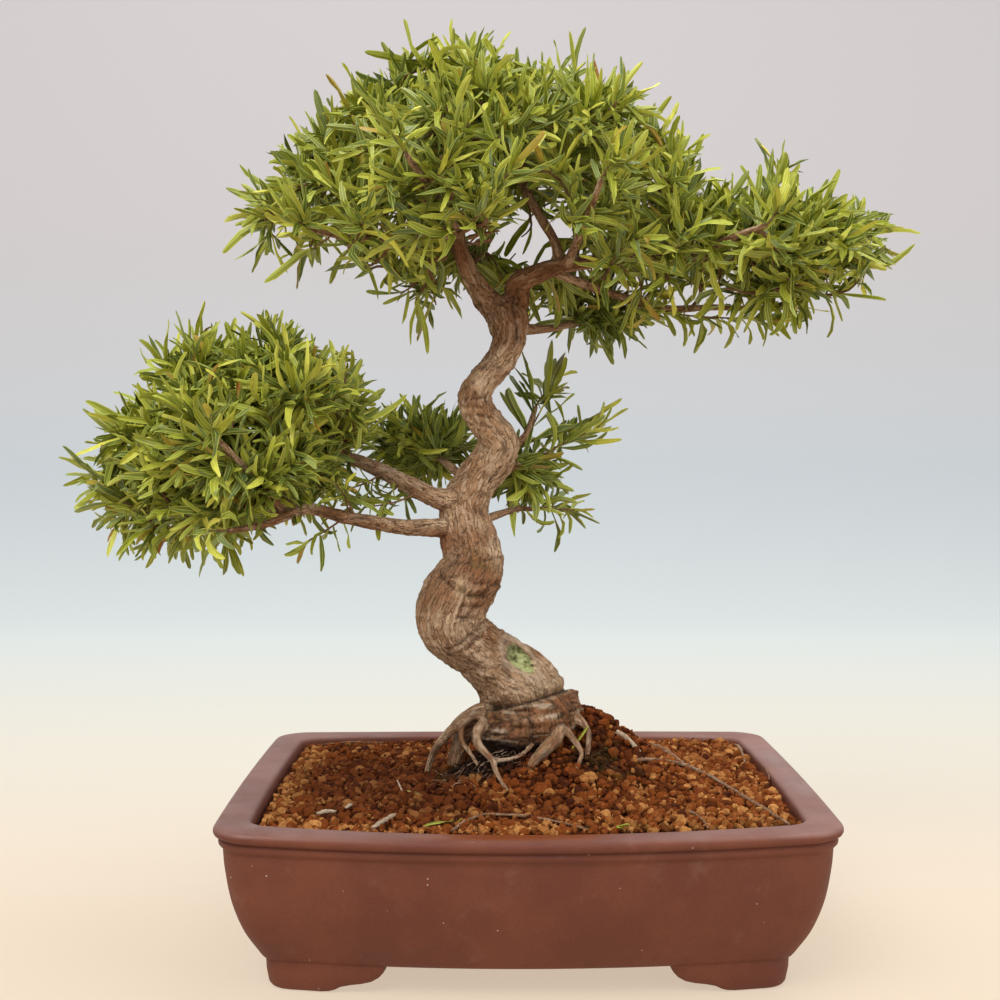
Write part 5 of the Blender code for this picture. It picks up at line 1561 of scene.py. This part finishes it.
def build_fallen_leaves(finish):
    """The few leaves that lie or sprout on the soil."""
    root, tip = (np.array([leaf[end] for leaf in FALLEN_LEAVES]) for end in (0, 1))
    count = len(root)
    points, quads, tris, coordinates, size = leaf_mesh(
        BLADE, root, unit(tip - root), np.tile((0.0, 0.0, 1.0), (count, 1)),
        np.linalg.norm(tip - root, axis=1), np.array([leaf[2] for leaf in FALLEN_LEAVES]),
        np.full(count, 0.2), np.full(count, 0.3), np.full(count, 0.3), np.full(count, 0.2),
        np.arange(count) * 1.0, np.full(count, 0.3))
    mesh = mesh_from("fallen_leaves", points, [quads, tris])
    give(mesh, "leaf", coordinates)
    give(mesh, "age", np.repeat([leaf[3] for leaf in FALLEN_LEAVES], size))
    give(mesh, "tone", np.full(len(points), 0.45))
    for shade in ("blue", "wood"):
        give(mesh, shade, np.zeros(len(points)))
    piece("fallen_leaves", mesh, finish)


def pad_middle(points):
    """The middle of the pad nearest each point."""
    middles = np.array([pad[0] for pad in PADS.values()], float)
    return middles[np.argmin(np.linalg.norm(np.asarray(points)[..., None, :] - middles, axis=-1), -1)]


# Stage

def build_stage():
    """A pale sweep: floor and backdrop in one sheet, warm below and cool above, with a glow of its own."""
    turn = [(SWEEP_FRONT, 0.0)]
    for step in range(13):
        angle = math.radians(90 * step / 12)
        turn.append((SWEEP_BACK + SWEEP_RADIUS * math.sin(angle), SWEEP_RADIUS * (1 - math.cos(angle))))
    turn.append((SWEEP_BACK + SWEEP_RADIUS, SWEEP_HEIGHT))
    sides = (-SWEEP_HALF_WIDTH, SWEEP_HALF_WIDTH)
    points = np.array([(x, y, z) for y, z in turn for x in sides]) / MM - POT_SHIFT
    mesh = mesh_from("backdrop", points, [grid_faces(len(turn), 2, False)])
    mesh.shade_smooth()
    n = Nodes("backdrop")
    place = n.node("ShaderNodeSeparateXYZ", Vector=n.place()).node
    along = n.math("ADD", place.outputs[1], place.outputs[2])
    color = n.stops(n.math("DIVIDE", along, BACKDROP_TOP),
                    [(start / BACKDROP_TOP, shade) for start, shade in BACKDROP_COLORS])
    n.link(color, n.shader.inputs["Emission Color"])
    n.shader.inputs["Emission Strength"].default_value = BACKDROP_GLOW
    mesh.materials.append(n.finish(n.mix(BACKDROP_SHADE, (0.0, 0.0, 0.0), color), 0.9, None, 0.05))
    placed("backdrop", mesh)


def area_light(name, place, target, size, power):
    light = bpy.data.lights.new(name, "AREA")
    light.shape = "RECTANGLE"
    light.size, light.size_y = size
    light.energy = power
    new = placed(name, light)
    new.location = place
    new.rotation_euler = (Vector(target) - Vector(place)).to_track_quat("-Z", "Y").to_euler()


def build_lights():
    world = bpy.data.worlds.new("studio")
    world.use_nodes = True
    glow = world.node_tree.nodes["Background"].inputs
    glow["Color"].default_value = GLOW_COLOR
    glow["Strength"].default_value = GLOW_STRENGTH
    bpy.context.scene.world = world
    for lamp in LAMPS:
        area_light(*lamp)


def build_camera():
    data = bpy.data.cameras.new("camera")
    data.sensor_width = 36.0
    data.lens = CAMERA_LENS
    data.clip_start, data.clip_end = 0.01, 50.0
    camera = placed("camera", data)
    camera.location = (np.array(CAMERA_PLACE) + POT_SHIFT) * MM
    camera.rotation_euler = (math.pi / 2 - CAMERA_PITCH, 0.0, -CAMERA_YAW)
    bpy.context.scene.camera = camera


def main():
    bpy.context.scene.view_settings.view_transform = "Standard"
    build_camera()
    build_stage()
    build_lights()
    stoneware = stoneware_finish()
    soil = soil_finish()
    bark = bark_finish()
    foliage = foliage_finish()
    for name in ("drain_screen_left", "drain_screen_right"):
        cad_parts[name].data.materials.clear()
        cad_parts[name].data.materials.append(plastic_finish())
    build_pot(stoneware)
    build_soil(soil)
    build_granules(soil)
    build_wood(bark)
    build_branches(bark)
    build_fine_roots(bark)
    build_foliage(foliage)
    build_fallen_leaves(foliage)


main()
